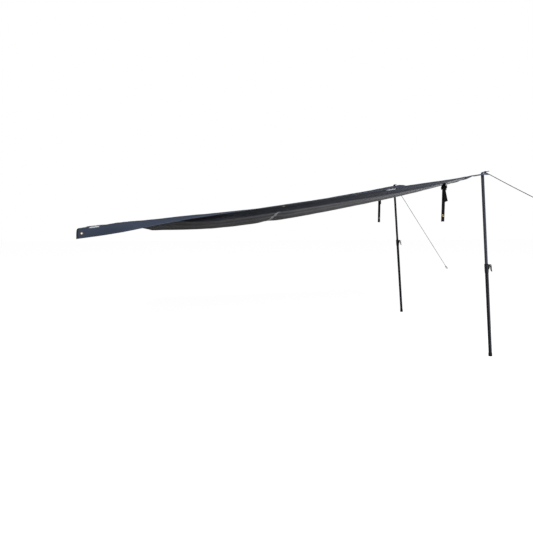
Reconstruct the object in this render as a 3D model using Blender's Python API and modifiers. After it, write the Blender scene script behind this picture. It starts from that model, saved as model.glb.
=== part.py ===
"""Swag awning: a fabric canopy on two telescopic poles with guy ropes.

Frame: metres, +X from the rear hem towards the poles, +Y across, +Z up. The origin is on top of
the canopy in the middle of its rear hem, which is held up from outside. The ground lies
GROUND_DROP below the origin. The side at -Y is called near and the side at +Y far.
"""
from bisect import bisect_right
from math import cos, exp, pi, radians, sin, sqrt, tan

import bmesh
import bpy
from mathutils import Matrix, Vector

# Canopy sheet, as pitched
CANOPY_LENGTH = 2.955
CANOPY_HALF_WIDTH = 1.053
GROUND_DROP = 0.977
CLOTH = 0.0010
BAND_CLOTH = 0.0009
GAP = 0.0003
BORDER = 0.120
END_BAND = 0.050
REAR_HEM_DROP = 0.077
FRONT_HEM_RISE = 0.397
FAR_HEM_EXTRA = 0.0194
FAR_REAR_LESS = 0.010
FAR_DIP = 0.0103
FAR_DIP_X = 2.167
FAR_DIP_REACH = 0.35
NEAR_DIP = 0.0115
NEAR_DIP_X = 0.276
NEAR_DIP_REACH = 0.294
SHOULDER_LIFT = 0.0104
SHOULDER_LIFT_X = 0.839
SHOULDER_LIFT_REACH = 0.553
STRAP_DIP = 0.0064
STRAP_DIP_X = 2.659
STRAP_DIP_REACH = 0.246
FRONT_SAG = 0.060
BELLY_DEPTH = 0.103
BELLY_SKEW = 0.628
BELLY_ROUND = 1.53
CORNER_DROOP = 0.016

# How the canopy lies over what holds its rear end
REST_CROWN_X = 0.107
REST_CURVE = 0.415
SHOULDER_X = 0.441
REAR_TUCK = 0.068
TUCK_REACH = 0.475
HANG_REAR = 0.074
HANG_BEND = 6.0
HANG_START_X = 0.255
HANG_REACH = 0.759
BORDER_SLOPE_FALL = 0.044
BORDER_FRONT_FALL = 0.004
FRONT_EASE = 0.75
ROLL_PEAK = 0.033
ROLL_START_X = 0.363
ROLL_PEAK_X = 0.861
ROLL_END_X = 1.717

# Seam tape across the middle
TAPE_X = 1.425
TAPE_WIDTH = 0.025
TAPE_CLOTH = 0.0006

# Brass eyelets
EYELET_INSET = 0.035
EYELET_FLAT = 0.015
EYELET_BORE_R = 0.0050
EYELET_WALL = 0.0006
EYELET_FLANGE_R = 0.0090
EYELET_FLANGE = 0.0010

# Corner tie straps of flat webbing
NEAR_STRAP_BACK = 0.2565
FAR_STRAP_BACK = 0.246
STRAP_INSET = 0.200
STRAP_WIDTH = 0.025
STRAP_THICK = 0.0018
NEAR_STRAP_LONG = 0.2875
FAR_STRAP_LONG = 0.326
STRAP_SHORT = 0.136
NEAR_STRAP_FAN = 0.018
FAR_STRAP_FAN = 0.004
NEAR_STRAP_TURN = 20.0
FAR_STRAP_TURN = 4.0
STRAP_EYELET_UP = 0.045
STRAP_APART = 0.0024
STRAP_FLARE = 0.0040
WRAP_DROP = 0.0310
WRAP_HALF_X = 0.0195
WRAP_HALF_Y = 0.0060
WRAP_SLOPE = 0.40

# Telescopic poles
POLE_LEAN = 4.6
UPPER_OD = 0.0220
UPPER_WALL = 0.0011
UPPER_LENGTH = 0.830
LOWER_OD = 0.0250
LOWER_WALL = 0.0010
NEAR_LOWER_LENGTH = 0.668
FAR_LOWER_LENGTH = 0.766
PLUG_ROOM = 0.0008
PLUG_TAPER = 0.0075
PLUG_STEM = 0.030
SPIGOT_R = 0.0035
SPIGOT_TIP = 0.016
SPIGOT_INSIDE = 0.028
GUIDE_HEAD = 0.012
GUIDE_STEM = 0.025
FOOT_OD = 0.0290
FOOT_HEIGHT = 0.026
FOOT_FLOOR = 0.005

# Flip lock clamp at the top of each lower tube
COLLAR_OD = 0.0300
COLLAR_HEIGHT = 0.066
COLLAR_OVER_TUBE = 0.037
COLLAR_TAPER = 0.018
LUG_THICK = 0.0040
LUG_GAP = 0.0126
LUG_ROUND = 0.0066
PIN_OUT = 0.0315
PIN_DOWN = 0.0125
PIN_R = 0.0025
PIN_HEAD_R = 0.0042
PIN_HEAD = 0.0015
CAM_R = 0.0072
CAM_OFFSET = 0.0013
LEVER_WIDTH = 0.0120
LEVER_LENGTH = 0.049
LEVER_THICK = 0.0065
SHOE_WIDTH = 0.0080
SHOE_HEIGHT = 0.0100
RIVET_R = 0.0016

# Guy ropes
ROPE_D = 0.0050
ROPE_TURN = 49.7
ROPE_FALL = 28.8
ROPE_SAG = 0.002
NEAR_ROPE = 0.420
FAR_ROPE = 2.120
KNOT_R = 0.0080
KNOT_LONG = 1.3
KNOT_WIDE = 1.1
KNOT_OUT = 0.0210
TAG_END = 0.0300
SPIGOT_ROOM = 0.0014
END_LOOP_R = 0.0120
END_LOOP_OUT = 0.0380

MESH_STEP = 0.135
BELLY_STEPS = 5
ROUND = 24


def clear_scene():
    for old in list(bpy.data.objects):
        bpy.data.objects.remove(old, do_unlink=True)


def new_collection(name):
    group = bpy.data.collections.new(name)
    bpy.context.scene.collection.children.link(group)
    return group


def paint(name, color, roughness, metallic=0.0):
    mat = bpy.data.materials.new(name)
    mat.use_nodes = True
    shader = mat.node_tree.nodes["Principled BSDF"]
    shader.inputs["Base Color"].default_value = (*color, 1.0)
    shader.inputs["Roughness"].default_value = roughness
    shader.inputs["Metallic"].default_value = metallic
    mat.diffuse_color = (*color, 1.0)
    return mat


clear_scene()
PARTS = new_collection("swag_awning")
CUTTERS = new_collection("cutters")

MATERIALS = {
    "canvas": ("awning_canvas", (0.045, 0.055, 0.085), 0.85, 0.0),
    "band": ("hem_canvas", (0.030, 0.036, 0.055), 0.85, 0.0),
    "tape": ("seam_tape", (0.16, 0.155, 0.165), 0.80, 0.0),
    "webbing": ("black_webbing", (0.010, 0.010, 0.012), 0.80, 0.0),
    "brass": ("brass", (0.72, 0.50, 0.20), 0.30, 1.0),
    "tube_upper": ("grey_tube", (0.060, 0.066, 0.085), 0.40, 0.7),
    "tube_lower": ("black_tube", (0.018, 0.020, 0.024), 0.40, 0.7),
    "plastic": ("black_plastic", (0.020, 0.021, 0.025), 0.50, 0.0),
    "rubber": ("black_rubber", (0.010, 0.010, 0.010), 0.75, 0.0),
    "steel": ("zinc_steel", (0.45, 0.46, 0.48), 0.35, 1.0),
    "rope": ("grey_rope", (0.22, 0.24, 0.30), 0.80, 0.0),
}


def give(obj, name, finish, parent=None, cutter=False):
    """Name, paint, shade and file one finished object."""
    obj.name = name
    obj.data.name = name
    if cutter:
        CUTTERS.objects.link(obj)
        obj.hide_render = True
        obj.display_type = "WIRE"
    else:
        PARTS.objects.link(obj)
        label, color, rough, metal = MATERIALS[finish]
        mat = bpy.data.materials.get(label) or paint(label, color, rough, metal)
        obj.data.materials.append(mat)
    if parent is not None:
        obj.parent = parent
    return obj


def smooth(mesh, angle=35.0):
    mesh.shade_smooth()
    mesh.set_sharp_from_angle(angle=radians(angle))


def mesh_object(bm, angle=35.0):
    bmesh.ops.recalc_face_normals(bm, faces=bm.faces[:])
    mesh = bpy.data.meshes.new("shape")
    bm.to_mesh(mesh)
    bm.free()
    smooth(mesh, angle)
    return bpy.data.objects.new("shape", mesh)


def ease(t):
    t = min(1.0, max(0.0, t))
    return t * t * (3.0 - 2.0 * t)


# The canopy's shape, as a function of x and of a number u that runs across it: -2 at the near
# hem, -1 at the near border seam, 0 in the middle, 1 and 2 on the far side

def hem_height(x, side):
    """Height of a side hem: a pulled line from the rear to a pole top, with its soft bumps."""
    share = x / CANOPY_LENGTH
    line = -REAR_HEM_DROP + (FRONT_HEM_RISE + REAR_HEM_DROP) * share
    lift = SHOULDER_LIFT * exp(-((x - SHOULDER_LIFT_X) / SHOULDER_LIFT_REACH) ** 2)
    dip = STRAP_DIP * exp(-((x - STRAP_DIP_X) / STRAP_DIP_REACH) ** 2)
    if side > 0:
        own = FAR_HEM_EXTRA * share - FAR_REAR_LESS * (1.0 - share)
        own -= FAR_DIP * exp(-((x - FAR_DIP_X) / FAR_DIP_REACH) ** 2)
    else:
        own = -NEAR_DIP * exp(-((x - NEAR_DIP_X) / NEAR_DIP_REACH) ** 2)
    return line + lift - dip + own


def rest_height(x):
    """Top of the canopy's middle where it lies over what holds it."""
    return REST_CURVE * (REST_CROWN_X ** 2 - (x - REST_CROWN_X) ** 2)


def middle_height(x):
    """Height of the canopy's middle line: it lies on the rest and then sags freely."""
    if x < SHOULDER_X:
        return rest_height(x)
    share = (x - SHOULDER_X) / (CANOPY_LENGTH - SHOULDER_X)
    drop = FRONT_SAG * share + BELLY_DEPTH * sin(pi * share ** BELLY_SKEW)
    free = (hem_height(x, -1) + hem_height(x, 1)) / 2 - drop
    leave = ease(share / 0.12)
    return rest_height(SHOULDER_X) * (1.0 - leave) + free * leave


def hem_out(x):
    """Distance of a side hem from the middle: it is tucked in where its flap hangs down."""
    return CANOPY_HALF_WIDTH - REAR_TUCK * (1.0 - ease(x / TUCK_REACH))


def border_rise(x, across):
    """Height of a border's cloth above its hem, at a cloth distance from the hem.

    At the rear it hangs upright and bends over the top. Further on it lies out level, with a
    rounded fold, and its seam comes to lie below the hem.
    """
    share = across / BORDER
    hanging = 1.0 - ease((x - HANG_START_X) / HANG_REACH)
    front = ease((x - (CANOPY_LENGTH - FRONT_EASE)) / FRONT_EASE)
    fall = BORDER_SLOPE_FALL * (1.0 - hanging) * (1.0 - front) + BORDER_FRONT_FALL * front
    upright = (across ** -HANG_BEND + HANG_REAR ** -HANG_BEND) ** (-1.0 / HANG_BEND)
    if x < ROLL_PEAK_X:
        roll = ROLL_PEAK * ease((x - ROLL_START_X) / (ROLL_PEAK_X - ROLL_START_X))
    else:
        roll = ROLL_PEAK * (1.0 - ease((x - ROLL_PEAK_X) / (ROLL_END_X - ROLL_PEAK_X)))
    return hanging * upright + roll * sin(pi * share) - fall * share


def corner_droop(x, across):
    """How far the loose corner outside a front eyelet is pressed down by the rope over it."""
    start = EYELET_FLAT * sqrt(2)
    reach = EYELET_INSET * sqrt(2) - start
    out = (x - (CANOPY_LENGTH - EYELET_INSET) + EYELET_INSET - across) / sqrt(2) - start
    return CORNER_DROOP * (max(0.0, out) / reach) ** 1.2


def border_point(x, across, side):
    """A point of a side's border at a cloth distance from the hem: its distance out, and z."""
    steps = 12
    run = across / steps
    out = hem_out(x)
    rise = 0.0
    for i in range(1, steps + 1):
        if run > 0.0:
            last = rise
            rise = border_rise(x, run * i)
            climb = min(abs(rise - last), 0.995 * run)
            out -= sqrt(run * run - climb * climb)
    return out, hem_height(x, side) + rise - corner_droop(x, across)


def cloth_point(x, u):
    """A point on the canopy's top face."""
    q = 2.0 - abs(u)
    side = -1.0 if u <= 0.0 else 1.0
    if q <= 1.0:
        out, z = border_point(x, q * BORDER, side)
    else:
        seam_out, seam_z = border_point(x, BORDER, side)
        t = q - 1.0
        out = seam_out * (1.0 - t)
        z = seam_z + (middle_height(x) - seam_z) * (1.0 - (1.0 - t) ** BELLY_ROUND)
    return Vector((x, side * out, z))


def cloth_normal(x, u):
    step = 0.004
    du = 0.01
    low = max(-2.0, u - du)
    high = min(2.0, u + du)
    along = cloth_point(x + step, u) - cloth_point(x - step, u)
    across = cloth_point(x, high) - cloth_point(x, low)
    return along.cross(across).normalized()


def cloth_offset(x, u, depth):
    """A point at a depth below the canopy's top face, square to it."""
    return cloth_point(x, u) - cloth_normal(x, u) * depth


def fill(marks, step):
    """The marks with evenly spread stations between them, none wider than step."""
    out = []
    for a, b in zip(marks, marks[1:]):
        count = max(1, int((b - a) / step + 0.999))
        out += [a + (b - a) * i / count for i in range(count)]
    return out + [marks[-1]]


EYE_LOW = EYELET_INSET - EYELET_FLAT
EYE_HIGH = EYELET_INSET + EYELET_FLAT
TAPE_LOW = TAPE_X - TAPE_WIDTH / 2
TAPE_HIGH = TAPE_X + TAPE_WIDTH / 2
MID_EYE_HIGH = TAPE_HIGH + 2 * EYELET_FLAT
X_MARKS = [0.0, EYE_LOW, EYE_HIGH, TAPE_LOW, TAPE_HIGH, MID_EYE_HIGH]
X_MARKS += [CANOPY_LENGTH - EYE_HIGH, CANOPY_LENGTH - EYE_LOW, CANOPY_LENGTH]
X_STATIONS = fill(X_MARKS, MESH_STEP)
BORDER_MARKS = [0.0, EYE_LOW / BORDER, EYE_HIGH / BORDER, 0.58, 0.77, 1.0]
BELLY_MARKS = [1.0 + (i / BELLY_STEPS) ** 1.15 for i in range(1, BELLY_STEPS + 1)]
NEAR_MARKS = [q - 2.0 for q in BORDER_MARKS + BELLY_MARKS]
U_STATIONS = NEAR_MARKS + [-u for u in NEAR_MARKS[-2::-1]]


def between(stations, low, high):
    tiny = 1e-6
    return [s for s in stations if low - tiny <= s <= high + tiny]


def cloth_slab(name, finish, xs, us, top, thick):
    """A sheet of cloth that follows the canopy, from a depth below its top face."""
    bm = bmesh.new()
    columns = len(xs) - 1
    rows = len(us) - 1
    bmesh.ops.create_grid(bm, x_segments=columns, y_segments=rows, size=1.0)
    bmesh.ops.triangulate(bm, faces=bm.faces[:], quad_method="FIXED")
    spots = {}
    for vert in bm.verts:
        i = round((vert.co.x + 1.0) * columns / 2)
        j = round((vert.co.y + 1.0) * rows / 2)
        spots[vert] = (xs[i], us[j])
    below = {}
    for vert, (x, u) in spots.items():
        vert.co = cloth_offset(x, u, top)
        below[tuple(round(c, 6) for c in vert.co)] = cloth_offset(x, u, top + thick)
    grown = bmesh.ops.extrude_face_region(bm, geom=bm.faces[:], use_keep_orig=True)
    for vert in grown["geom"]:
        if isinstance(vert, bmesh.types.BMVert):
            vert.co = below[tuple(round(c, 6) for c in vert.co)]
    return give(mesh_object(bm, 60.0), name, finish)


def cloth_at(x, u, depth):
    """The point and the normal on the canopy's own facets, which is where things are seated."""
    i = min(bisect_right(X_STATIONS, x), len(X_STATIONS) - 1) - 1
    j = min(bisect_right(U_STATIONS, u), len(U_STATIONS) - 1) - 1
    x0, x1 = X_STATIONS[i], X_STATIONS[i + 1]
    u0, u1 = U_STATIONS[j], U_STATIONS[j + 1]
    a = (x - x0) / (x1 - x0)
    b = (u - u0) / (u1 - u0)
    low = cloth_offset(x0, u0, depth)
    high = cloth_offset(x1, u1, depth)
    if a >= b:
        corner = cloth_offset(x1, u0, depth)
        spot = low + (corner - low) * a + (high - corner) * b
        normal = (corner - low).cross(high - corner)
    else:
        corner = cloth_offset(x0, u1, depth)
        spot = low + (corner - low) * b + (high - corner) * a
        normal = (high - corner).cross(corner - low)
    return spot, normal.normalized()


def frame_at(spot, normal, along=Vector((1.0, 0.0, 0.0))):
    """A placing matrix with z along the normal and x near a direction."""
    z = normal.normalized()
    x = (along - z * along.dot(z)).normalized()
    y = z.cross(x)
    rows = Matrix((x, y, z)).transposed().to_4x4()
    return Matrix.Translation(spot) @ rows


def turned(name, finish, profile, parent=None, place=None, steps=ROUND, cutter=False):
    """A piece turned about z from a profile of radius and height, down its outer side."""
    mesh = bpy.data.meshes.new(name)
    bm = bmesh.new()
    closed = profile[0] == profile[-1]
    points = profile[:-1] if closed else profile
    verts = [bm.verts.new((r, 0.0, z)) for r, z in points]
    for a, b in zip(verts, verts[1:]):
        bm.edges.new((a, b))
    if closed:
        bm.edges.new((verts[-1], verts[0]))
    bm.to_mesh(mesh)
    bm.free()
    obj = give(bpy.data.objects.new(name, mesh), name, finish, parent, cutter)
    screw = obj.modifiers.new("turn", "SCREW")
    screw.axis = "Z"
    screw.angle = 2 * pi
    screw.steps = steps
    screw.render_steps = steps
    screw.use_merge_vertices = True
    screw.merge_threshold = 0.00001
    screw.use_smooth_shade = True
    if place is not None:
        obj.matrix_local = place
    return obj


def solid_copy(obj):
    """The evaluated shape of an object as a plain mesh with its caps welded."""
    bpy.context.view_layer.update()
    graph = bpy.context.evaluated_depsgraph_get()
    mesh = bpy.data.meshes.new_from_object(obj.evaluated_get(graph))
    bm = bmesh.new()
    bm.from_mesh(mesh)
    bmesh.ops.remove_doubles(bm, verts=bm.verts[:], dist=0.00001)
    bmesh.ops.recalc_face_normals(bm, faces=bm.faces[:])
    bm.to_mesh(mesh)
    bm.free()
    return mesh


def plate(name, finish, outline, width, parent=None, cutter=False, bevel=0.0):
    """A flat plate in the x-z plane from an outline of points, centred on y."""
    curve = bpy.data.curves.new(name, "CURVE")
    curve.dimensions = "2D"
    curve.fill_mode = "BOTH"
    curve.extrude = width / 2
    line = curve.splines.new("POLY")
    line.points.add(len(outline) - 1)
    for point, (x, z) in zip(line.points, outline):
        point.co = (x, z, 0.0, 1.0)
    line.use_cyclic_u = True
    source = bpy.data.objects.new(name, curve)
    CUTTERS.objects.link(source)
    mesh = solid_copy(source)
    bpy.data.objects.remove(source, do_unlink=True)
    mesh.transform(Matrix.Rotation(pi / 2, 4, "X"))
    smooth(mesh)
    obj = give(bpy.data.objects.new(name, mesh), name, finish, parent, cutter)
    if bevel:
        edge = obj.modifiers.new("edges", "BEVEL")
        edge.width = bevel
        edge.segments = 2
        edge.limit_method = "ANGLE"
        edge.angle_limit = radians(50)
    return obj


def box(name, finish, size, centre, parent=None, cutter=False, bevel=0.0):
    bm = bmesh.new()
    bmesh.ops.create_cube(bm, size=1.0)
    bmesh.ops.scale(bm, vec=size, verts=bm.verts[:])
    bmesh.ops.translate(bm, vec=centre, verts=bm.verts[:])
    if bevel:
        bmesh.ops.bevel(bm, geom=bm.edges[:], offset=bevel, segments=2, profile=0.5,
                        affect="EDGES", material=-1)
    return give(mesh_object(bm), name, finish, parent, cutter)


def rod(name, finish, radius, length, place, parent=None, cutter=False, sides=16):
    bm = bmesh.new()
    bmesh.ops.create_cone(bm, cap_ends=True, segments=sides, radius1=radius, radius2=radius,
                          depth=length, matrix=place)
    return give(mesh_object(bm), name, finish, parent, cutter)


def join(target, tool, operation):
    """A Boolean modifier, subtracting or adding one object's shape."""
    mod = target.modifiers.new(tool.name, "BOOLEAN")
    mod.operation = operation
    mod.solver = "EXACT"
    mod.object = tool
    return mod


def tube(name, finish, points, radius, parent=None, resolution=2):
    """A round tube along points, with filled ends."""
    curve = bpy.data.curves.new(name, "CURVE")
    curve.dimensions = "3D"
    curve.bevel_depth = radius
    curve.bevel_resolution = resolution
    curve.use_fill_caps = True
    line = curve.splines.new("POLY")
    line.points.add(len(points) - 1)
    for spot, point in zip(line.points, points):
        spot.co = (*point, 1.0)
    return give(bpy.data.objects.new(name, curve), name, finish, parent)


def spline_points(knots, spacing, most=40):
    """Evenly spaced points on a smooth curve through the route's own points."""
    ends = [2 * knots[0] - knots[1]] + list(knots) + [2 * knots[-1] - knots[-2]]
    fine = []
    for p0, p1, p2, p3 in zip(ends, ends[1:], ends[2:], ends[3:]):
        for k in range(40):
            t = k / 40
            fine.append(0.5 * (2 * p1 + (p2 - p0) * t + (2 * p0 - 5 * p1 + 4 * p2 - p3) * t * t
                               + (3 * p1 - p0 - 3 * p2 + p3) * t ** 3))
    fine.append(knots[-1])
    walked = [0.0]
    for a, b in zip(fine, fine[1:]):
        walked.append(walked[-1] + (b - a).length)
    total = walked[-1]
    count = min(most, max(4, int(total / spacing) + 1))
    out = []
    k = 0
    for i in range(count):
        goal = total * i / (count - 1)
        while k < len(walked) - 2 and walked[k + 1] < goal:
            k += 1
        share = (goal - walked[k]) / max(1e-9, walked[k + 1] - walked[k])
        out.append(fine[k].lerp(fine[k + 1], share))
    return out


# Canopy sheet and the bands sewn under it

SIDES = {"near": -1.0, "far": 1.0}
sheet = cloth_slab("canopy_sheet", "canvas", X_STATIONS, U_STATIONS, 0.0, CLOTH)
band_top = CLOTH + GAP
side_us = between(U_STATIONS, -2.0, -1.0)
bands = {
    "near": cloth_slab("near_side_band", "band", X_STATIONS, side_us, band_top, BAND_CLOTH),
    "far": cloth_slab("far_side_band", "band", X_STATIONS, [-u for u in side_us[::-1]],
                      band_top, BAND_CLOTH),
}
SEAM_GAP = 0.004
inner_us = [-1.0 + SEAM_GAP] + between(U_STATIONS, -0.99, 0.99) + [1.0 - SEAM_GAP]
cloth_slab("rear_band", "band", between(X_STATIONS, 0.0, END_BAND), inner_us, band_top,
           BAND_CLOTH)
cloth_slab("front_band", "band",
           between(X_STATIONS, CANOPY_LENGTH - END_BAND, CANOPY_LENGTH), inner_us, band_top,
           BAND_CLOTH)
cloth_slab("mid_seam_tape", "tape", [TAPE_LOW, TAPE_HIGH], inner_us, band_top, TAPE_CLOTH)


# Brass eyelets, each a clinched ring through the canopy and its band

def eyelet(name, place, stack, sheets):
    """A ring whose flanges grip a stack of cloth that starts at the place's own height 0."""
    inner = EYELET_BORE_R
    outer = EYELET_BORE_R + EYELET_WALL
    lip = EYELET_FLANGE_R
    top = GAP
    low = -stack - GAP
    cap = EYELET_FLANGE
    profile = [
        (inner + 0.0010, top + cap), (lip - 0.0012, top + cap), (lip, top + cap * 0.35),
        (lip, top), (outer, top), (outer, low), (lip, low), (lip, low - cap * 0.35),
        (lip - 0.0012, low - cap), (inner + 0.0010, low - cap), (inner, low - cap * 0.4),
        (inner, top + cap * 0.4), (inner + 0.0010, top + cap),
    ]
    ring = turned(name, "brass", profile, place=place, steps=20)
    hole = rod(name + "_hole", "brass", outer + GAP, 0.02, place, cutter=True)
    for cloth in sheets:
        join(cloth, hole, "DIFFERENCE")
    return ring


EYELET_X = {
    "rear": EYELET_INSET,
    "mid": (TAPE_HIGH + MID_EYE_HIGH) / 2,
    "front": CANOPY_LENGTH - EYELET_INSET,
}
STACK = CLOTH + GAP + BAND_CLOTH
corner_place = {}
for side, sign in SIDES.items():
    for spot, x in EYELET_X.items():
        u = sign * (2.0 - EYELET_INSET / BORDER)
        half_u = EYELET_FLAT / BORDER
        corners = [cloth_point(x + dx, u + du) for dx in (-EYELET_FLAT, EYELET_FLAT)
                   for du in (-half_u, half_u)]
        centre = sum(corners, Vector()) / 4
        normal = (corners[3] - corners[0]).cross(corners[1] - corners[2]).normalized()
        if normal.z < 0:
            normal = -normal
        place = frame_at(centre, normal)
        eyelet(f"{side}_{spot}_eyelet", place, STACK, [sheet, bands[side]])
        if spot == "front":
            corner_place[side] = place


# Corner tie straps, sewn under the canopy near the front corners

def u_at(x, y):
    """The number u of the belly at a place x, y."""
    t = 1.0 - abs(y) / border_point(x, BORDER, y)[0]
    return (1.0 if y > 0 else -1.0) * (1.0 - t)


def ribbon(name, finish, points, directions, width, thick):
    """Flat webbing along the points of its middle line, with a width direction at each."""
    bm = bmesh.new()
    rows = len(points) - 1
    bmesh.ops.create_grid(bm, x_segments=1, y_segments=rows, size=1.0)
    lifts = {}
    for vert in bm.verts:
        j = round((vert.co.y + 1.0) * rows / 2)
        side = 1.0 if vert.co.x > 0 else -1.0
        ahead = points[min(j + 1, rows)] - points[max(j - 1, 0)]
        normal = directions[j].cross(ahead).normalized()
        middle = points[j] + directions[j] * side * width / 2
        vert.co = middle - normal * thick / 2
        lifts[tuple(round(c, 6) for c in vert.co)] = normal * thick
    grown = bmesh.ops.extrude_face_region(bm, geom=bm.faces[:], use_keep_orig=True)
    for vert in grown["geom"]:
        if isinstance(vert, bmesh.types.BMVert):
            vert.co = vert.co + lifts[tuple(round(c, 6) for c in vert.co)]
    return give(mesh_object(bm), name, finish)


WRAP_END = WRAP_DROP + STRAP_WIDTH / 2 + WRAP_HALF_X * WRAP_SLOPE


def strap_route(start, normal, along, hand, drops, fan, turn):
    """Points and width directions of one tail: folded under its tab, then hanging."""
    sideways = normal.cross(along).normalized() * hand
    half = STRAP_THICK / 2
    lane = half + GAP
    points = [start + sideways * (lane + 0.0080) - normal * half,
              start + sideways * (lane + 0.0045) - normal * (half + 0.0003),
              start + sideways * (lane + 0.0018) - normal * (half + 0.0020),
              start + sideways * (lane + 0.0006) - normal * 0.0060]
    directions = [along] * 4
    level = Vector((cos(turn), 0.0, sin(turn)))
    for drop in drops:
        low = max(0.0, drop - WRAP_END) / (drops[-1] - WRAP_END)
        away = lane + STRAP_APART + STRAP_FLARE * low * low
        points.append(start + Vector((fan * low, sideways.y * away, -drop)))
        directions.append(along.lerp(level, ease(drop / 0.10)).normalized())
    return points, directions


def wrap_band(name, centre):
    """One turn of webbing round both tails: an oval ring, lower on its +X side."""
    bm = bmesh.new()
    bmesh.ops.create_cone(bm, cap_ends=False, segments=16, radius1=1.0, radius2=1.0, depth=1.0)
    lifts = {}
    for vert in bm.verts:
        flat_x = WRAP_HALF_X * vert.co.x * abs(vert.co.x) ** -0.3 if vert.co.x else 0.0
        flat_y = WRAP_HALF_Y * vert.co.y * abs(vert.co.y) ** -0.3 if vert.co.y else 0.0
        away = Vector((vert.co.x * WRAP_HALF_Y, vert.co.y * WRAP_HALF_X, 0.0)).normalized()
        rise = vert.co.z * STRAP_WIDTH - flat_x * WRAP_SLOPE
        vert.co = centre + Vector((flat_x, flat_y, rise))
        lifts[tuple(round(c, 6) for c in vert.co)] = away * STRAP_THICK
    grown = bmesh.ops.extrude_face_region(bm, geom=bm.faces[:], use_keep_orig=True)
    for vert in grown["geom"]:
        if isinstance(vert, bmesh.types.BMVert):
            vert.co = vert.co + lifts[tuple(round(c, 6) for c in vert.co)]
    return give(mesh_object(bm), name, "webbing")


STRAP_X = {"near": CANOPY_LENGTH - NEAR_STRAP_BACK, "far": CANOPY_LENGTH - FAR_STRAP_BACK}
STRAP_LONG = {"near": NEAR_STRAP_LONG, "far": FAR_STRAP_LONG}
STRAP_FAN = {"near": NEAR_STRAP_FAN, "far": FAR_STRAP_FAN}
STRAP_TURN = {"near": NEAR_STRAP_TURN, "far": FAR_STRAP_TURN}
for side, sign in SIDES.items():
    y = sign * (CANOPY_HALF_WIDTH - STRAP_INSET)
    seat, normal = cloth_at(STRAP_X[side], u_at(STRAP_X[side], y), CLOTH)
    place = frame_at(seat - normal * GAP, normal)
    bm = bmesh.new()
    bmesh.ops.create_cube(bm, size=1.0)
    bmesh.ops.scale(bm, vec=(STRAP_WIDTH, STRAP_WIDTH, STRAP_THICK), verts=bm.verts[:])
    bmesh.ops.translate(bm, vec=(0, 0, -STRAP_THICK / 2), verts=bm.verts[:])
    tab = give(mesh_object(bm), f"{side}_strap_tab", "webbing")
    tab.matrix_local = place
    start = seat - normal * (GAP + STRAP_THICK + GAP)
    along = place.to_3x3() @ Vector((1, 0, 0))
    length = STRAP_LONG[side]
    eye_at = length - STRAP_EYELET_UP
    eye_low = eye_at + EYELET_FLAT
    eye_high = eye_at - EYELET_FLAT
    long_drops = [0.015, 0.030, 0.050, 0.075, 0.100, 0.130, 0.160, 0.195, eye_high, eye_low,
                  length]
    points, directions = strap_route(start, normal, along, 1.0, long_drops, 0.0, 0.0)
    long_strap = ribbon(f"{side}_long_strap", "webbing", points, directions, STRAP_WIDTH,
                        STRAP_THICK)
    hole_point = (points[-2] + points[-3]) / 2
    face = Vector((1, 0, 0)).cross(points[-2] - points[-3]).normalized()
    if face.y > 0:
        face = -face
    eye_place = frame_at(hole_point + face * STRAP_THICK / 2, face)
    eyelet(f"{side}_strap_eyelet", eye_place, STRAP_THICK, [long_strap])
    short_drops = [STRAP_SHORT * share for share in (0.10, 0.21, 0.41, 0.52, 0.66, 0.82, 1.0)]
    points, directions = strap_route(start, normal, along, -1.0, short_drops, STRAP_FAN[side],
                                     radians(STRAP_TURN[side]))
    ribbon(f"{side}_short_strap", "webbing", points, directions, STRAP_WIDTH, STRAP_THICK)
    wrap_band(f"{side}_strap_wrap", start - Vector((0.0, 0.0, WRAP_DROP)))


# Telescopic poles, each built along z with the eyelet's middle at the origin

def pole_profiles(lower_length, foot_at):
    """Heights of a pole's pieces along its axis, from the canopy eyelet downward."""
    heights = {}
    heights["seat"] = -(STACK + GAP + EYELET_FLANGE) - PLUG_ROOM
    heights["tube_top"] = heights["seat"] - PLUG_TAPER - GAP
    heights["tube_low"] = heights["tube_top"] - UPPER_LENGTH
    heights["foot"] = foot_at
    heights["lower_low"] = foot_at + FOOT_FLOOR + GAP
    heights["lower_top"] = heights["lower_low"] + lower_length
    heights["collar_low"] = heights["lower_top"] - COLLAR_OVER_TUBE
    heights["collar_top"] = heights["collar_low"] + COLLAR_HEIGHT
    heights["pin"] = heights["collar_top"] - PIN_DOWN
    return heights


def ring_profile(outer, inner, top, low):
    return [(outer, top), (outer, low), (inner, low), (inner, top), (outer, top)]


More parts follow.
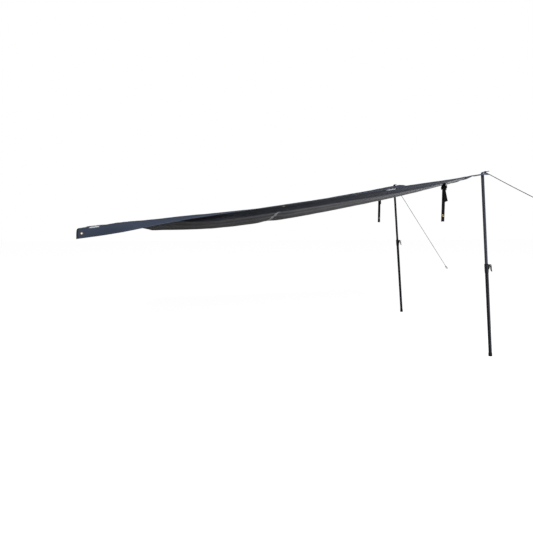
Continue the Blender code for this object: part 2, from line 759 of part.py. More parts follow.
def pole_top(side, carrier, at):
    """The upper tube with its plug, spigot and the guide on its lower end."""
    tube_r = UPPER_OD / 2
    bore_r = tube_r - UPPER_WALL
    seat = at["seat"]
    top = at["tube_top"]
    turned(f"{side}_spigot", "steel", [
        (0.0, SPIGOT_TIP), (0.0012, SPIGOT_TIP - 0.0006), (SPIGOT_R, SPIGOT_TIP - 0.0060),
        (SPIGOT_R, seat - SPIGOT_INSIDE), (0.0, seat - SPIGOT_INSIDE)], carrier)
    hole_r = SPIGOT_R + GAP
    head_r = tube_r + 0.0006
    stem_r = bore_r - GAP
    turned(f"{side}_top_plug", "plastic", [
        (hole_r, seat), (hole_r + 0.0012, seat), (head_r - 0.0010, seat - PLUG_TAPER * 0.62),
        (head_r, seat - PLUG_TAPER * 0.80), (head_r, seat - PLUG_TAPER),
        (stem_r - 0.0006, seat - PLUG_TAPER), (stem_r - 0.0006, top - 0.004),
        (stem_r, top - 0.006), (stem_r, top - 0.012), (stem_r - 0.0006, top - 0.014),
        (stem_r - 0.0006, top - PLUG_STEM + 0.010), (stem_r, top - PLUG_STEM + 0.008),
        (stem_r, top - PLUG_STEM + 0.002), (stem_r - 0.0010, top - PLUG_STEM),
        (hole_r, top - PLUG_STEM), (hole_r, seat)], carrier)
    turned(f"{side}_upper_tube", "tube_upper",
           ring_profile(tube_r, bore_r, top, at["tube_low"]), carrier)
    guide_r = LOWER_OD / 2 - LOWER_WALL - GAP
    low = at["tube_low"] - GAP
    core_r = bore_r - 0.0030
    turned(f"{side}_guide_plug", "plastic", [
        (stem_r, low + GUIDE_STEM), (stem_r, low), (guide_r - 0.0004, low),
        (guide_r, low - 0.0010), (guide_r, low - GUIDE_HEAD + 0.0020),
        (guide_r - 0.0012, low - GUIDE_HEAD), (core_r, low - GUIDE_HEAD),
        (core_r, low + GUIDE_STEM), (stem_r, low + GUIDE_STEM)], carrier)


def lug_outline(at):
    """A clamp lug seen from the side: out to the pin, rounded there, and back on a slope."""
    pin_z = at["pin"]
    top = pin_z + LUG_ROUND
    nose = [(PIN_OUT + LUG_ROUND * cos(radians(a)), pin_z + LUG_ROUND * sin(radians(a)))
            for a in range(90, -91, -20)]
    inner = UPPER_OD / 2 + 0.0024
    back = [(PIN_OUT - 0.0060, pin_z - 0.0070), (PIN_OUT - 0.0105, pin_z - 0.0095),
            (PIN_OUT - 0.0120, pin_z - 0.0180), (inner + 0.0016, pin_z - 0.0290),
            (inner, pin_z - 0.0290)]
    return [(inner, top)] + nose + back


def lever_outline(pin_z):
    """The cam lever from the side: an off-centre round head and an arm with a kicked tip."""
    centre = PIN_OUT - CAM_OFFSET
    head = [(centre + CAM_R * cos(radians(a)), pin_z + CAM_R * sin(radians(a)))
            for a in range(225, 0, -20)]
    tip_x = PIN_OUT + 0.0085
    arm = [
        (PIN_OUT + 0.0062, pin_z - 0.0050), (PIN_OUT + 0.0068, pin_z - LEVER_LENGTH * 0.45),
        (PIN_OUT + 0.0064, pin_z - LEVER_LENGTH * 0.70),
        (tip_x + 0.0012, pin_z - LEVER_LENGTH * 0.96), (tip_x - 0.0006, pin_z - LEVER_LENGTH),
        (PIN_OUT + 0.0010, pin_z - LEVER_LENGTH * 0.80),
        (PIN_OUT + 0.0066 - LEVER_THICK, pin_z - LEVER_LENGTH * 0.55),
        (PIN_OUT + 0.0056 - LEVER_THICK, pin_z - 0.0105),
    ]
    return head + arm


def pole_lower(side, carrier, at):
    """The lower tube with its foot, collar, rivet, pressure shoe and lever pin."""
    tube_r = LOWER_OD / 2
    lower = turned(f"{side}_lower_tube", "tube_lower",
                   ring_profile(tube_r, tube_r - LOWER_WALL, at["lower_top"], at["lower_low"]),
                   carrier)
    foot_r = FOOT_OD / 2
    cup_r = tube_r + GAP
    foot = at["foot"]
    floor = foot + FOOT_FLOOR
    rim = foot + FOOT_HEIGHT
    turned(f"{side}_foot_cap", "rubber", [
        (0.0, floor), (cup_r, floor), (cup_r, rim), (foot_r - 0.0012, rim),
        (foot_r - 0.0004, rim - 0.001), (foot_r - 0.0004, foot + FOOT_HEIGHT * 0.45),
        (foot_r, foot + FOOT_HEIGHT * 0.36), (foot_r, foot + 0.0030), (foot_r - 0.0030, foot),
        (0.0, foot)], carrier)

    outer = COLLAR_OD / 2
    step = at["lower_top"] + GAP
    wide = tube_r + GAP
    slim = UPPER_OD / 2 + GAP
    top = at["collar_top"]
    low = at["collar_low"]
    collar = turned(f"{side}_clamp_collar", "plastic", [
        (outer - 0.0012, top), (outer, top - 0.0015), (outer, low + COLLAR_TAPER),
        (wide + 0.0012, low), (wide, low), (wide, step), (slim, step), (slim, top),
        (outer - 0.0012, top)], carrier)
    pin_z = at["pin"]
    lugs = []
    for k, hand in (("a", -1.0), ("b", 1.0)):
        lug = plate(f"{side}_lug_{k}", "plastic", lug_outline(at), LUG_THICK, carrier, True)
        lug.location.y = hand * (LUG_GAP + LUG_THICK) / 2
        lugs.append(lug)
        join(collar, lug, "UNION")
    window = box(f"{side}_window", "plastic",
                 (0.012, SHOE_WIDTH + 2 * GAP, SHOE_HEIGHT + 2 * GAP),
                 (outer, 0.0, pin_z), carrier, True)
    join(collar, window, "DIFFERENCE")
    across = Matrix.Translation((PIN_OUT, 0, pin_z)) @ Matrix.Rotation(pi / 2, 4, "X")
    pin_hole = rod(f"{side}_pin_hole", "steel", PIN_R + GAP, 0.05, across, carrier, True)
    join(collar, pin_hole, "DIFFERENCE")
    rivet_z = low + COLLAR_TAPER + 0.008
    through = Matrix.Translation((-tube_r, 0, rivet_z)) @ Matrix.Rotation(-pi / 2, 4, "Y")
    rivet_hole = rod(f"{side}_rivet_hole", "steel", RIVET_R + GAP, 0.012, through, carrier, True)
    join(collar, rivet_hole, "DIFFERENCE")
    join(lower, rivet_hole, "DIFFERENCE")
    wall_out = outer - tube_r + GAP
    turned(f"{side}_collar_rivet", "steel", [
        (0.0, wall_out + 0.0012), (0.0020, wall_out + 0.0010), (0.0030, wall_out),
        (RIVET_R, wall_out), (RIVET_R, -LOWER_WALL), (0.0, -LOWER_WALL)], carrier, through,
        steps=16)

    reach = PIN_OUT - CAM_OFFSET - CAM_R - GAP
    inner = UPPER_OD / 2 + GAP
    shoe = box(f"{side}_clamp_shoe", "plastic", (reach - inner + 0.0012, SHOE_WIDTH, SHOE_HEIGHT),
               ((reach + inner - 0.0012) / 2, 0.0, pin_z), carrier)
    hollow = rod(f"{side}_shoe_hollow", "plastic", inner, 0.03,
                 Matrix.Translation((0, 0, pin_z)), carrier, True, ROUND)
    join(shoe, hollow, "DIFFERENCE")

    half = LUG_GAP / 2 + LUG_THICK + GAP
    pin_place = Matrix.Translation((PIN_OUT, 0, pin_z)) @ Matrix.Rotation(pi / 2, 4, "X")
    turned(f"{side}_lever_pin", "steel", [
        (0.0, half + PIN_HEAD), (PIN_HEAD_R - 0.0008, half + PIN_HEAD),
        (PIN_HEAD_R, half + PIN_HEAD * 0.4), (PIN_HEAD_R, half), (PIN_R, half), (PIN_R, -half),
        (PIN_HEAD_R, -half), (PIN_HEAD_R, -half - PIN_HEAD * 0.4),
        (PIN_HEAD_R - 0.0008, -half - PIN_HEAD), (0.0, -half - PIN_HEAD)], carrier, pin_place,
        steps=16)


def pole_lever(side, carrier, at):
    """The cam lever, with its origin on the pin's axis."""
    pin_z = at["pin"]
    lever = plate(f"{side}_cam_lever", "plastic", lever_outline(0.0), LEVER_WIDTH, carrier,
                  bevel=0.0010)
    lever.data.transform(Matrix.Translation((-PIN_OUT, 0, 0)))
    lever.location = (PIN_OUT, 0.0, pin_z)
    hole = rod(f"{side}_lever_hole", "plastic", PIN_R + GAP, 0.05,
               Matrix.Translation((PIN_OUT, 0, pin_z)) @ Matrix.Rotation(pi / 2, 4, "X"),
               carrier, True)
    join(lever, hole, "DIFFERENCE")


LOWER_LENGTHS = {"near": NEAR_LOWER_LENGTH, "far": FAR_LOWER_LENGTH}
lean = radians(POLE_LEAN)
for side, place in corner_place.items():
    head = place.translation
    carrier = bpy.data.objects.new(f"{side}_pole", None)
    PARTS.objects.link(carrier)
    carrier.matrix_world = Matrix.Translation(head) @ Matrix.Rotation(-lean, 4, "Y")
    foot_drop = (head.z + GROUND_DROP - FOOT_OD / 2 * sin(lean)) / cos(lean)
    levels = pole_profiles(LOWER_LENGTHS[side], -foot_drop)
    pole_top(side, carrier, levels)
    pole_lower(side, carrier, levels)
    pole_lever(side, carrier, levels)


# Guy ropes: an eye over the spigot, a straight run out and down, and a loop on the end

def rope_tube(name, points):
    """A piece of rope as a plain mesh, for joining."""
    source = tube(name, "rope", points, ROPE_D / 2)
    mesh = solid_copy(source)
    bpy.data.objects.remove(source, do_unlink=True)
    return mesh


def rope_loop(name, knot, out, up, loop_r, reach, tag=None):
    """A bight that runs from a knot out round a centre and back, with its knot as a ball."""
    side = up.cross(out).normalized()
    foot = ROPE_D * 0.6
    centre = knot + out * reach
    points = [knot - side * foot]
    for k in range(13):
        angle = radians(-115 + 230 * k / 12)
        points.append(centre + out * loop_r * cos(angle) + side * loop_r * sin(angle))
    points += [knot + side * foot]
    loop = give(bpy.data.objects.new(name, rope_tube(name + "_bight", points)), name, "rope")
    bm = bmesh.new()
    bmesh.ops.create_uvsphere(bm, u_segments=14, v_segments=9, radius=KNOT_R)
    ball = give(mesh_object(bm, 180.0), name + "_knot", "rope", cutter=True)
    ball.matrix_world = frame_at(knot, up, out) @ Matrix.Diagonal((KNOT_LONG, KNOT_WIDE, 1, 1))
    join(loop, ball, "UNION")
    if tag is not None:
        end = give(bpy.data.objects.new(name, rope_tube(name + "_tag", tag)), name + "_tag",
                   "rope", cutter=True)
        join(loop, end, "UNION")
    return loop


ROPE_LENGTHS = {"near": NEAR_ROPE, "far": FAR_ROPE}
for side, sign in SIDES.items():
    place = corner_place[side]
    head = place.translation
    up = place.to_3x3() @ Vector((0, 0, 1))
    turn = radians(ROPE_TURN)
    fall = radians(ROPE_FALL)
    flat = Vector((cos(turn), sign * sin(turn), 0.0))
    out = (flat - up * flat.dot(up)).normalized()
    hand = up.cross(out).normalized()
    knot = head + out * KNOT_OUT + up * (KNOT_R + GAP)
    eye_r = SPIGOT_R + SPIGOT_ROOM + ROPE_D / 2
    tilt = (KNOT_R - EYELET_FLANGE - ROPE_D / 2) / KNOT_OUT
    eye_up = GAP + EYELET_FLANGE + GAP + ROPE_D / 2 + eye_r * tilt
    tag = [knot + hand * 0.004, knot + hand * 0.007 + out * TAG_END * 0.5 - up * 0.0015,
           knot + hand * 0.008 + out * TAG_END]
    eye_axis = (head + up * eye_up - knot).normalized()
    eye_top = (up - eye_axis * up.dot(eye_axis)).normalized()
    rope_loop(f"{side}_rope_eye", knot, eye_axis, eye_top, eye_r,
              (head + up * eye_up - knot).length, tag)
    away = Vector((flat.x * cos(fall), flat.y * cos(fall), -sin(fall)))
    knot_frame = (eye_axis, eye_top.cross(eye_axis), eye_top)
    stretch = (KNOT_LONG, KNOT_WIDE, 1.0)
    knot_reach = KNOT_R / sqrt(sum((away.dot(axis) / far) ** 2
                                   for axis, far in zip(knot_frame, stretch)))
    start = knot + away * (knot_reach + 2 * GAP)
    length = ROPE_LENGTHS[side]
    middle = start + away * length / 2 - Vector((0, 0, ROPE_SAG))
    finish = start + away * length
    tube(f"{side}_guy_rope", "rope", spline_points([start, middle, finish], ROPE_D * 2.5),
         ROPE_D / 2)
    upright = away.cross(Vector((0, 0, 1))).normalized().cross(away).normalized()
    end = finish + away * (KNOT_R * KNOT_LONG + GAP)
    rope_loop(f"{side}_rope_end", end, away, upright, END_LOOP_R, END_LOOP_OUT)
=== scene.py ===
from functools import lru_cache
from math import cos, exp, pi, radians, sin, sqrt

import bmesh
import bpy
from mathutils import Matrix, Vector, noise


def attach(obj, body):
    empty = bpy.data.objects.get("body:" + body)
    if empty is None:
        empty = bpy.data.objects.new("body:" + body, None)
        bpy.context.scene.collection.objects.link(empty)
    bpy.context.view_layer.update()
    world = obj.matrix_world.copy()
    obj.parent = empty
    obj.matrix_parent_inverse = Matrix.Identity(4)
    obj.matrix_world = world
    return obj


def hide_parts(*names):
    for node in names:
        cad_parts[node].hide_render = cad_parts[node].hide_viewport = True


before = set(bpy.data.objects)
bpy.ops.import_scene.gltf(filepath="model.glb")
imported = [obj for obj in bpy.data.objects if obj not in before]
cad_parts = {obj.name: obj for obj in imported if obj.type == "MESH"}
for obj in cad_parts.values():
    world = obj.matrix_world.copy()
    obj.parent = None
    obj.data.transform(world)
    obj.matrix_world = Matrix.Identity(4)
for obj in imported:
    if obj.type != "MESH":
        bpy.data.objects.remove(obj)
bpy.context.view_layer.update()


# View, floor and light
#
# The awning is seen from its near side, from just under its cloth. The floor is plain and pale. A
# large soft lamp stands high on the near side, a small one low in front lights the underside.

LOOKS_DOWN = radians(4.99)
LOOKS_RIGHT = radians(5.588)
camera = bpy.data.cameras.new("view")
camera.lens = 38.74
camera.sensor_width = 36.0
view = bpy.data.objects.new("view", camera)
view.location = (0.929, -5.096, 0.0765)
view.rotation_euler = (pi / 2 - LOOKS_DOWN, 0.0, -LOOKS_RIGHT)
bpy.context.scene.collection.objects.link(view)
bpy.context.scene.camera = view
bpy.context.scene.view_settings.view_transform = "Standard"


def node(tree, kind, **settings):
    """A shader node with its settings: sockets by their name, properties by theirs."""
    made = tree.nodes.new("ShaderNode" + kind)
    for key, value in settings.items():
        socket = made.inputs.get(key.replace("_", " ")) if not hasattr(made, key) else None
        if socket is not None:
            socket.default_value = value
        else:
            setattr(made, key, value)
    return made


def seen_directly(tree):
    """1 for what the camera, a reflection or a clear piece sees, 0 for what lights a surface."""
    path = node(tree, "LightPath")
    mirror = node(tree, "Math", operation="MAXIMUM")
    clear = node(tree, "Math", operation="MAXIMUM")
    tree.links.new(path.outputs["Is Camera Ray"], mirror.inputs[0])
    tree.links.new(path.outputs["Is Glossy Ray"], mirror.inputs[1])
    tree.links.new(mirror.outputs[0], clear.inputs[0])
    tree.links.new(path.outputs["Is Transmission Ray"], clear.inputs[1])
    return clear.outputs[0]


def show_directly(tree, light, seen, output):
    """Send one shader to what it lights, and another to what sees it directly."""
    choose = node(tree, "MixShader")
    end = node(tree, output)
    tree.links.new(seen_directly(tree), choose.inputs[0])
    tree.links.new(light.outputs[0], choose.inputs[1])
    tree.links.new(seen.outputs[0], choose.inputs[2])
    tree.links.new(choose.outputs[0], end.inputs[0])


WHITE = (1.0, 1.0, 1.0, 1.0)
SKY_LIGHT = 0.08
world = bpy.data.worlds.new("white_sky")
bpy.context.scene.world = world
world.use_nodes = True
sky = world.node_tree
sky.nodes.clear()
dim = node(sky, "Background", Color=WHITE, Strength=SKY_LIGHT)
white = node(sky, "Background", Color=WHITE, Strength=1.0)
show_directly(sky, dim, white, "OutputWorld")

GROUND = -0.977
FLOOR_SIZE = 40.0
FLOOR_LIGHT = 0.01
FLOOR_SHADE = 0.55
FLOOR_GLOW = 0.94
ground = bmesh.new()
bmesh.ops.create_grid(ground, x_segments=1, y_segments=1, size=FLOOR_SIZE / 2)
bmesh.ops.translate(ground, vec=(0.0, 0.0, GROUND), verts=ground.verts[:])
floor_mesh = bpy.data.meshes.new("floor")
ground.to_mesh(floor_mesh)
ground.free()
floor = bpy.data.objects.new("floor", floor_mesh)
bpy.context.scene.collection.objects.link(floor)

floor_paint = bpy.data.materials.new("pale_floor")
floor_paint.use_nodes = True
tree = floor_paint.node_tree
tree.nodes.clear()
matt = node(tree, "BsdfDiffuse", Color=(FLOOR_LIGHT, FLOOR_LIGHT, FLOOR_LIGHT, 1.0))
shade = node(tree, "BsdfDiffuse", Color=(FLOOR_SHADE, FLOOR_SHADE, FLOOR_SHADE, 1.0))
glow = node(tree, "Emission", Strength=FLOOR_GLOW)
shown = node(tree, "AddShader")
tree.links.new(shade.outputs[0], shown.inputs[0])
tree.links.new(glow.outputs[0], shown.inputs[1])
show_directly(tree, matt, shown, "OutputMaterial")
floor_mesh.materials.append(floor_paint)


def soft_lamp(name, place, aim, size, power):
    """A round soft lamp that the camera doesn't see, aimed at a point."""
    lamp = bpy.data.lights.new(name, "AREA")
    lamp.shape = "DISK"
    lamp.size = size
    lamp.energy = power
    holder = bpy.data.objects.new(name, lamp)
    holder.location = place
    holder.rotation_euler = (Vector(aim) - Vector(place)).to_track_quat("-Z", "Y").to_euler()
    holder.visible_camera = False
    bpy.context.scene.collection.objects.link(holder)


soft_lamp("high_lamp", (1.0, -6.0, 3.2), (1.5, 0.0, 0.0), 4.0, 390.0)
soft_lamp("low_lamp", (3.9, -1.7, -0.93), (2.2, -0.3, 0.3), 0.6, 51.0)


# Guy ropes
#
# Two 5 mm braided polyester cords. Each is tied over the spigot of its pole with an eye and a
# barrel knot, and runs out and down, pulled straight, to the same knot and a bight at its end.

ROPE = 0.0050
ROPE_SIDES = 10
ROPE_STEP = 0.0125
ROPE_SAG = 0.002


def lengths_along(points):
    """How long a line is up to each of its points."""
    walked = [0.0]
    for a, b in zip(points, points[1:]):
        walked.append(walked[-1] + (b - a).length)
    return walked


def smooth_route(knots, count):
    """Evenly spaced points on a smooth curve through a route's own points."""
    ends = [2 * knots[0] - knots[1]] + list(knots) + [2 * knots[-1] - knots[-2]]
    fine = []
    for p0, p1, p2, p3 in zip(ends, ends[1:], ends[2:], ends[3:]):
        for k in range(24):
            t = k / 24
            fine.append(0.5 * (2 * p1 + (p2 - p0) * t + (2 * p0 - 5 * p1 + 4 * p2 - p3) * t * t
                               + (3 * p1 - p0 - 3 * p2 + p3) * t ** 3))
    fine.append(knots[-1])
    walked = lengths_along(fine)
    out = []
    k = 0
    for i in range(count):
        goal = walked[-1] * i / (count - 1)
        while k < len(walked) - 2 and walked[k + 1] < goal:
            k += 1
        share = (goal - walked[k]) / max(1e-9, walked[k + 1] - walked[k])
        out.append(fine[k].lerp(fine[k + 1], share))
    return out


def piece(bm, name, *finishes, angle=40.0):
    """Finish a mesh as a named object with its materials and shading."""
    mesh = bpy.data.meshes.new(name)
    bm.to_mesh(mesh)
    bm.free()
    mesh.shade_smooth()
    mesh.set_sharp_from_angle(angle=radians(angle))
    for finish in finishes:
        mesh.materials.append(finish)
    obj = bpy.data.objects.new(name, mesh)
    bpy.context.scene.collection.objects.link(obj)
    return obj


def grid_step(place, count):
    """Which line of a new grid a coordinate is on: it runs from -1 to 1 in that many steps."""
    return round((place + 1.0) * count / 2)


def put_in(bm, part):
    """Add the faces of one bmesh to another, and free it."""
    carried = bpy.data.meshes.new("part")
    part.to_mesh(carried)
    part.free()
    bm.from_mesh(carried)
    bpy.data.meshes.remove(carried)


def cord_mesh(bm, points, radius, sides=ROPE_SIDES):
    """A round cord along its points. Its UV map runs round it and along it, in metres."""
    grid = bmesh.new()
    rows = len(points) - 1
    bmesh.ops.create_grid(grid, x_segments=sides, y_segments=rows, size=1.0, calc_uvs=True)
    walked = lengths_along(points)
    uv = grid.loops.layers.uv.verify()
    side = None
    rings = []
    for j in range(rows + 1):
        ahead = (points[min(j + 1, rows)] - points[max(j - 1, 0)]).normalized()
        if side is None:
            side = ahead.orthogonal().normalized()
        side = (side - ahead * side.dot(ahead)).normalized()
        rings.append((side.copy(), ahead.cross(side)))
    for face in grid.faces:
        for loop in face.loops:
            i = grid_step(loop.vert.co.x, sides)
            j = grid_step(loop.vert.co.y, rows)
            loop[uv].uv = (2 * pi * radius * i / sides, walked[j])
    for vert in grid.verts:
        i = grid_step(vert.co.x, sides)
        j = grid_step(vert.co.y, rows)
        turn = -2 * pi * i / sides
        vert.co = points[j] + (rings[j][0] * cos(turn) + rings[j][1] * sin(turn)) * radius
    bmesh.ops.remove_doubles(grid, verts=grid.verts[:], dist=radius * 0.01)
    bmesh.ops.holes_fill(grid, edges=[e for e in grid.edges if e.is_boundary], sides=sides)
    bmesh.ops.recalc_face_normals(grid, faces=grid.faces[:])
    put_in(bm, grid)


def surface(tree, socket):
    """An input of a material's main shader."""
    return tree.nodes["Principled BSDF"].inputs[socket]


def finish_material(name, coords, color, roughness, metallic=0.0, sheen=0.0, gloss=0.5):
    """A new material, its node tree, and the coordinates that its patterns go by."""
    made = bpy.data.materials.new(name)
    made.use_nodes = True
    made.diffuse_color = (*color, 1.0)
    values = {"Base Color": (*color, 1.0), "Roughness": roughness, "Metallic": metallic,
              "Sheen Weight": sheen, "Specular IOR Level": gloss}
    for socket, value in values.items():
        surface(made.node_tree, socket).default_value = value
    return made, made.node_tree, node(made.node_tree, "TexCoord").outputs[coords]


def scaled(tree, vector, scale=(1.0, 1.0, 1.0), turn=0.0):
    """A vector stretched along its axes, or turned in its first two by some degrees."""
    made = node(tree, "Mapping", Scale=scale, Rotation=(0.0, 0.0, radians(turn)))
    tree.links.new(vector, made.inputs["Vector"])
    return made.outputs[0]


def wave_value(tree, vector, scale, direction):
    """Soft stripes across one direction of a vector."""
    stripes = node(tree, "TexWave", wave_type="BANDS", bands_direction=direction,
                   wave_profile="SIN", Scale=scale, Distortion=0.0, Detail=0.0)
    tree.links.new(vector, stripes.inputs["Vector"])
    return stripes.outputs["Fac"]


def join_values(tree, operation, a, b):
    """One Math node on two sockets or numbers."""
    made = node(tree, "Math", operation=operation)
    for slot, value in zip(made.inputs, (a, b)):
        if isinstance(value, (int, float)):
            slot.default_value = value
        else:
            tree.links.new(value, slot)
    return made.outputs[0]


def colour_ramp(tree, value, *stops):
    """Colours by a value: stops are pairs of position and colour."""
    ramp = node(tree, "ValToRGB")
    band = ramp.color_ramp
    while len(band.elements) < len(stops):
        band.elements.new(0.5)
    for element, (at, color) in zip(band.elements, stops):
        element.position = at
        element.color = (*color, 1.0)
    tree.links.new(value, ramp.inputs["Fac"])
    return ramp.outputs["Color"]


def paint(tree, value, *stops):
    """Colour a material by a value."""
    tree.links.new(colour_ramp(tree, value, *stops), surface(tree, "Base Color"))


def add_bump(tree, height, strength, distance):
    """Raise a surface by a value, no more than a distance in metres."""
    bump = node(tree, "Bump", Strength=strength, Distance=distance)
    tree.links.new(height, bump.inputs["Height"])
    tree.links.new(bump.outputs["Normal"], surface(tree, "Normal"))


BRAID_ANGLE = 38.0
BRAID_FINE = 190.0
rope_finish, tree, where = finish_material("braided_cord", "UV", (0.006, 0.013, 0.058), 0.75,
                                           sheen=0.05, gloss=0.15)
strand_a = wave_value(tree, scaled(tree, where, turn=BRAID_ANGLE), BRAID_FINE, "X")
strand_b = wave_value(tree, scaled(tree, where, turn=-BRAID_ANGLE), BRAID_FINE, "X")
braid = join_values(tree, "MAXIMUM", strand_a, strand_b)
paint(tree, braid, (0.25, (0.003, 0.006, 0.024)), (0.75, (0.007, 0.014, 0.058)),
      (1.0, (0.012, 0.021, 0.078)))
add_bump(tree, braid, 0.6, 0.0006)

# Each front eyelet: its middle, the way it faces, and the way its rope leaves.
EYELET_TOP = {
    "near": (Vector((2.92, -1.01802, 0.38805)), Vector((-0.17937, 0.03523, 0.98315)),
             Vector((0.6276, -0.76549, 0.14193))),
    "far": (Vector((2.92, 1.01802, 0.407)), Vector((-0.18999, -0.03515, 0.98116)),
            Vector((0.6254, 0.76604, 0.14855))),
}
# Each rope between its two knots, as it lies.
ROPE_RUN = {
    "near": (Vector((2.937137, -1.040227, 0.394558)), Vector((3.175188, -1.320927, 0.192221))),
    "far": (Vector((2.936994, 1.04023, 0.413637)), Vector((4.138581, 2.457092, -0.607681))),
}
KNOT_OUT = 0.0210
KNOT_UP = 0.0083
KNOT_HALF = 0.0105
WRAP_R = ROPE * 0.92
WRAPS_HALF = 0.0075
WRAP_POINTS = 8
SPIGOT_LOOP_R = 0.0074
SPIGOT_LOOP_UP = 0.0046
SPIGOT_LOOP_CLIMB = 0.0052
END_LOOP_R = 0.0120
END_LOOP_OUT = 0.0380
END_KNOT_OUT = 0.0107
LONG_NECK = 0.016


def barrel_knot(centre, ahead, up, loop_r, reach, tag_out, tag_drop, lift=0.0):
    """An eye tied with a barrel knot: tag, three wraps, the eye round its centre, and back.

    With a lift the eye is a round turn: it goes round twice and climbs by that much.
    """
    hand = up.cross(ahead).normalized()

    def at(along, across, high):
        return centre + ahead * along + hand * across + up * high

    points = [at(-tag_out, WRAP_R * 1.7, -tag_drop),
              at(-tag_out * 0.7, WRAP_R * 1.5, -tag_drop * 0.6),
              at(-KNOT_HALF, WRAP_R * 1.25, -0.0005)]
    last = 3 * WRAP_POINTS
    for k in range(last + 1):
        turn = 2 * pi * k / WRAP_POINTS
        points.append(at(-WRAPS_HALF + 2 * WRAPS_HALF * k / last, WRAP_R * cos(turn),
                         -WRAP_R * sin(turn)))
    far = reach - loop_r
    points.append(at(KNOT_HALF, WRAP_R * 0.9, 0.0))
    if far > LONG_NECK:
        points.append(at(far * 0.75, loop_r * 0.75, 0.0))
    sweep, last = (490, 32) if lift else (130, 8)
    for k in range(last + 1):
        turn = radians(65 - sweep * k / last)
        points.append(at(reach + loop_r * cos(turn), loop_r * sin(turn), lift * k / last))
    if far > LONG_NECK:
        points.append(at(far * 0.75, -loop_r * 0.75, 0.0))
    points.append(at(0.0095, -0.0012, lift * 0.5))
    points.append(at(0.0, 0.0, 0.0))
    points.append(at(-0.0080, 0.0, 0.0))
    return smooth_route(points, 160 if lift else 120)


def rope_piece(name, solid, points):
    """A length of rope that goes with the canopy and stands in for a solid."""
    bm = bmesh.new()
    cord_mesh(bm, points, ROPE / 2)
    made = piece(bm, name, rope_finish)
    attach(made, "canopy")
    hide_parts(solid)
    return made


for side, (start, finish) in ROPE_RUN.items():
    head, up, out = EYELET_TOP[side]
    knot = head + out * KNOT_OUT + up * KNOT_UP
    eye = head + up * SPIGOT_LOOP_UP
    ahead = (eye - knot).normalized()
    level = (up - ahead * up.dot(ahead)).normalized()
    rope_eye = rope_piece(f"{side}_spigot_knot", f"{side}_rope_eye", barrel_knot(
        knot, ahead, level, SPIGOT_LOOP_R, (eye - knot).length, tag_out=0.034, tag_drop=0.005,
        lift=SPIGOT_LOOP_CLIMB))

    middle = (start + finish) / 2 - Vector((0.0, 0.0, ROPE_SAG))
    length = (finish - start).length
    route = smooth_route([start, middle, finish], min(80, int(length / ROPE_STEP) + 1))
    guy = rope_piece(f"{side}_guy_line", f"{side}_guy_rope", route)

    away = (finish - start).normalized()
    end = finish + away * END_KNOT_OUT
    upright = away.cross(Vector((0, 0, 1))).normalized().cross(away).normalized()
    bight = rope_piece(f"{side}_end_knot", f"{side}_rope_end", barrel_knot(
        end, away, upright, END_LOOP_R, END_LOOP_OUT, tag_out=0.026, tag_drop=0.0))


# Canopy
#
# One piece of navy proofed canvas, 2.99 m by 2.11 m, pulled between its rear end and the two
# poles so that its middle sags. Brass eyelets go through it along both sides.

CANOPY_LENGTH = 2.955
CANOPY_HALF_WIDTH = 1.053
CLOTH = 0.0010
BAND_CLOTH = 0.0009
GAP = 0.0003
BORDER = 0.120
BELLY_HALF = CANOPY_HALF_WIDTH - BORDER
EYELET_INSET = 0.035
EYELET_X = (0.035, 1.4525, 2.92)
EYELET_OUT = CANOPY_HALF_WIDTH - EYELET_INSET
EYELET_HOLE = 0.0057
TAPE_X = 1.425
TAPE_WIDTH = 0.025


def ease(t):
    """From 0 to 1 with a soft start and end."""
    t = min(1.0, max(0.0, t))
    return t * t * (3.0 - 2.0 * t)


def hump(x, middle, reach, height=1.0):
    """A bump with soft sides."""
    return height * exp(-((x - middle) / reach) ** 2)


HEM_REAR = -0.077
HEM_FRONT = 0.397
FAR_REAR_DROP = 0.010
FAR_FRONT_RISE = 0.0194
# Bumps and dips of the side hems: place, reach and height.
SHOULDER_BUMP = (0.839, 0.553, 0.0104)
FRONT_DIP = (2.659, 0.246, -0.0064)
NEAR_DIP = (0.276, 0.294, -0.0115)
FAR_DIP = (2.167, 0.35, -0.0103)


def hem_height(x, side):
    """Height of a side hem: a pulled line from the rear to a pole top, with its soft bumps."""
    share = x / CANOPY_LENGTH
    line = HEM_REAR + (HEM_FRONT - HEM_REAR) * share + hump(x, *SHOULDER_BUMP)
    line += hump(x, *FRONT_DIP)
    if side > 0:
        return (line + FAR_FRONT_RISE * share - FAR_REAR_DROP * (1.0 - share)
                + hump(x, *FAR_DIP))
    return line + hump(x, *NEAR_DIP)


# The middle line: its curve over the rest, and how it sags from its shoulder to the front.
REST_CURVE = 0.415
REST_CROWN = 0.107
SHOULDER = 0.441
SAG = 0.060
BELLY = 0.103
BELLY_SKEW = 0.628


def rest_height(x):
    """Height of the rest under the rear of the middle line."""
    return REST_CURVE * (REST_CROWN ** 2 - (x - REST_CROWN) ** 2)


@lru_cache(maxsize=None)
def middle_height(x):
    """Height of the canopy's middle line: it lies on its rest and then sags freely."""
    if x < SHOULDER:
        return rest_height(x)
    share = (x - SHOULDER) / (CANOPY_LENGTH - SHOULDER)
    drop = SAG * share + BELLY * sin(pi * share ** BELLY_SKEW)
    free = (hem_height(x, -1) + hem_height(x, 1)) / 2 - drop
    leave = ease(share / 0.12)
    return rest_height(SHOULDER) * (1.0 - leave) + free * leave


# The borders: how high they stand at the rear, where they are laid out level, how far they fall
# or rise inwards there, and the roll along them.
UPRIGHT = 0.074
LEVELS_FROM = 0.255
LEVELS_OVER = 0.759
BORDER_FALL = 0.044
FRONT_FALL = 0.004
FRONT_REACH = 0.75
ROLL = 0.033
ROLL_START, ROLL_TOP, ROLL_END = 0.363, 0.861, 1.717


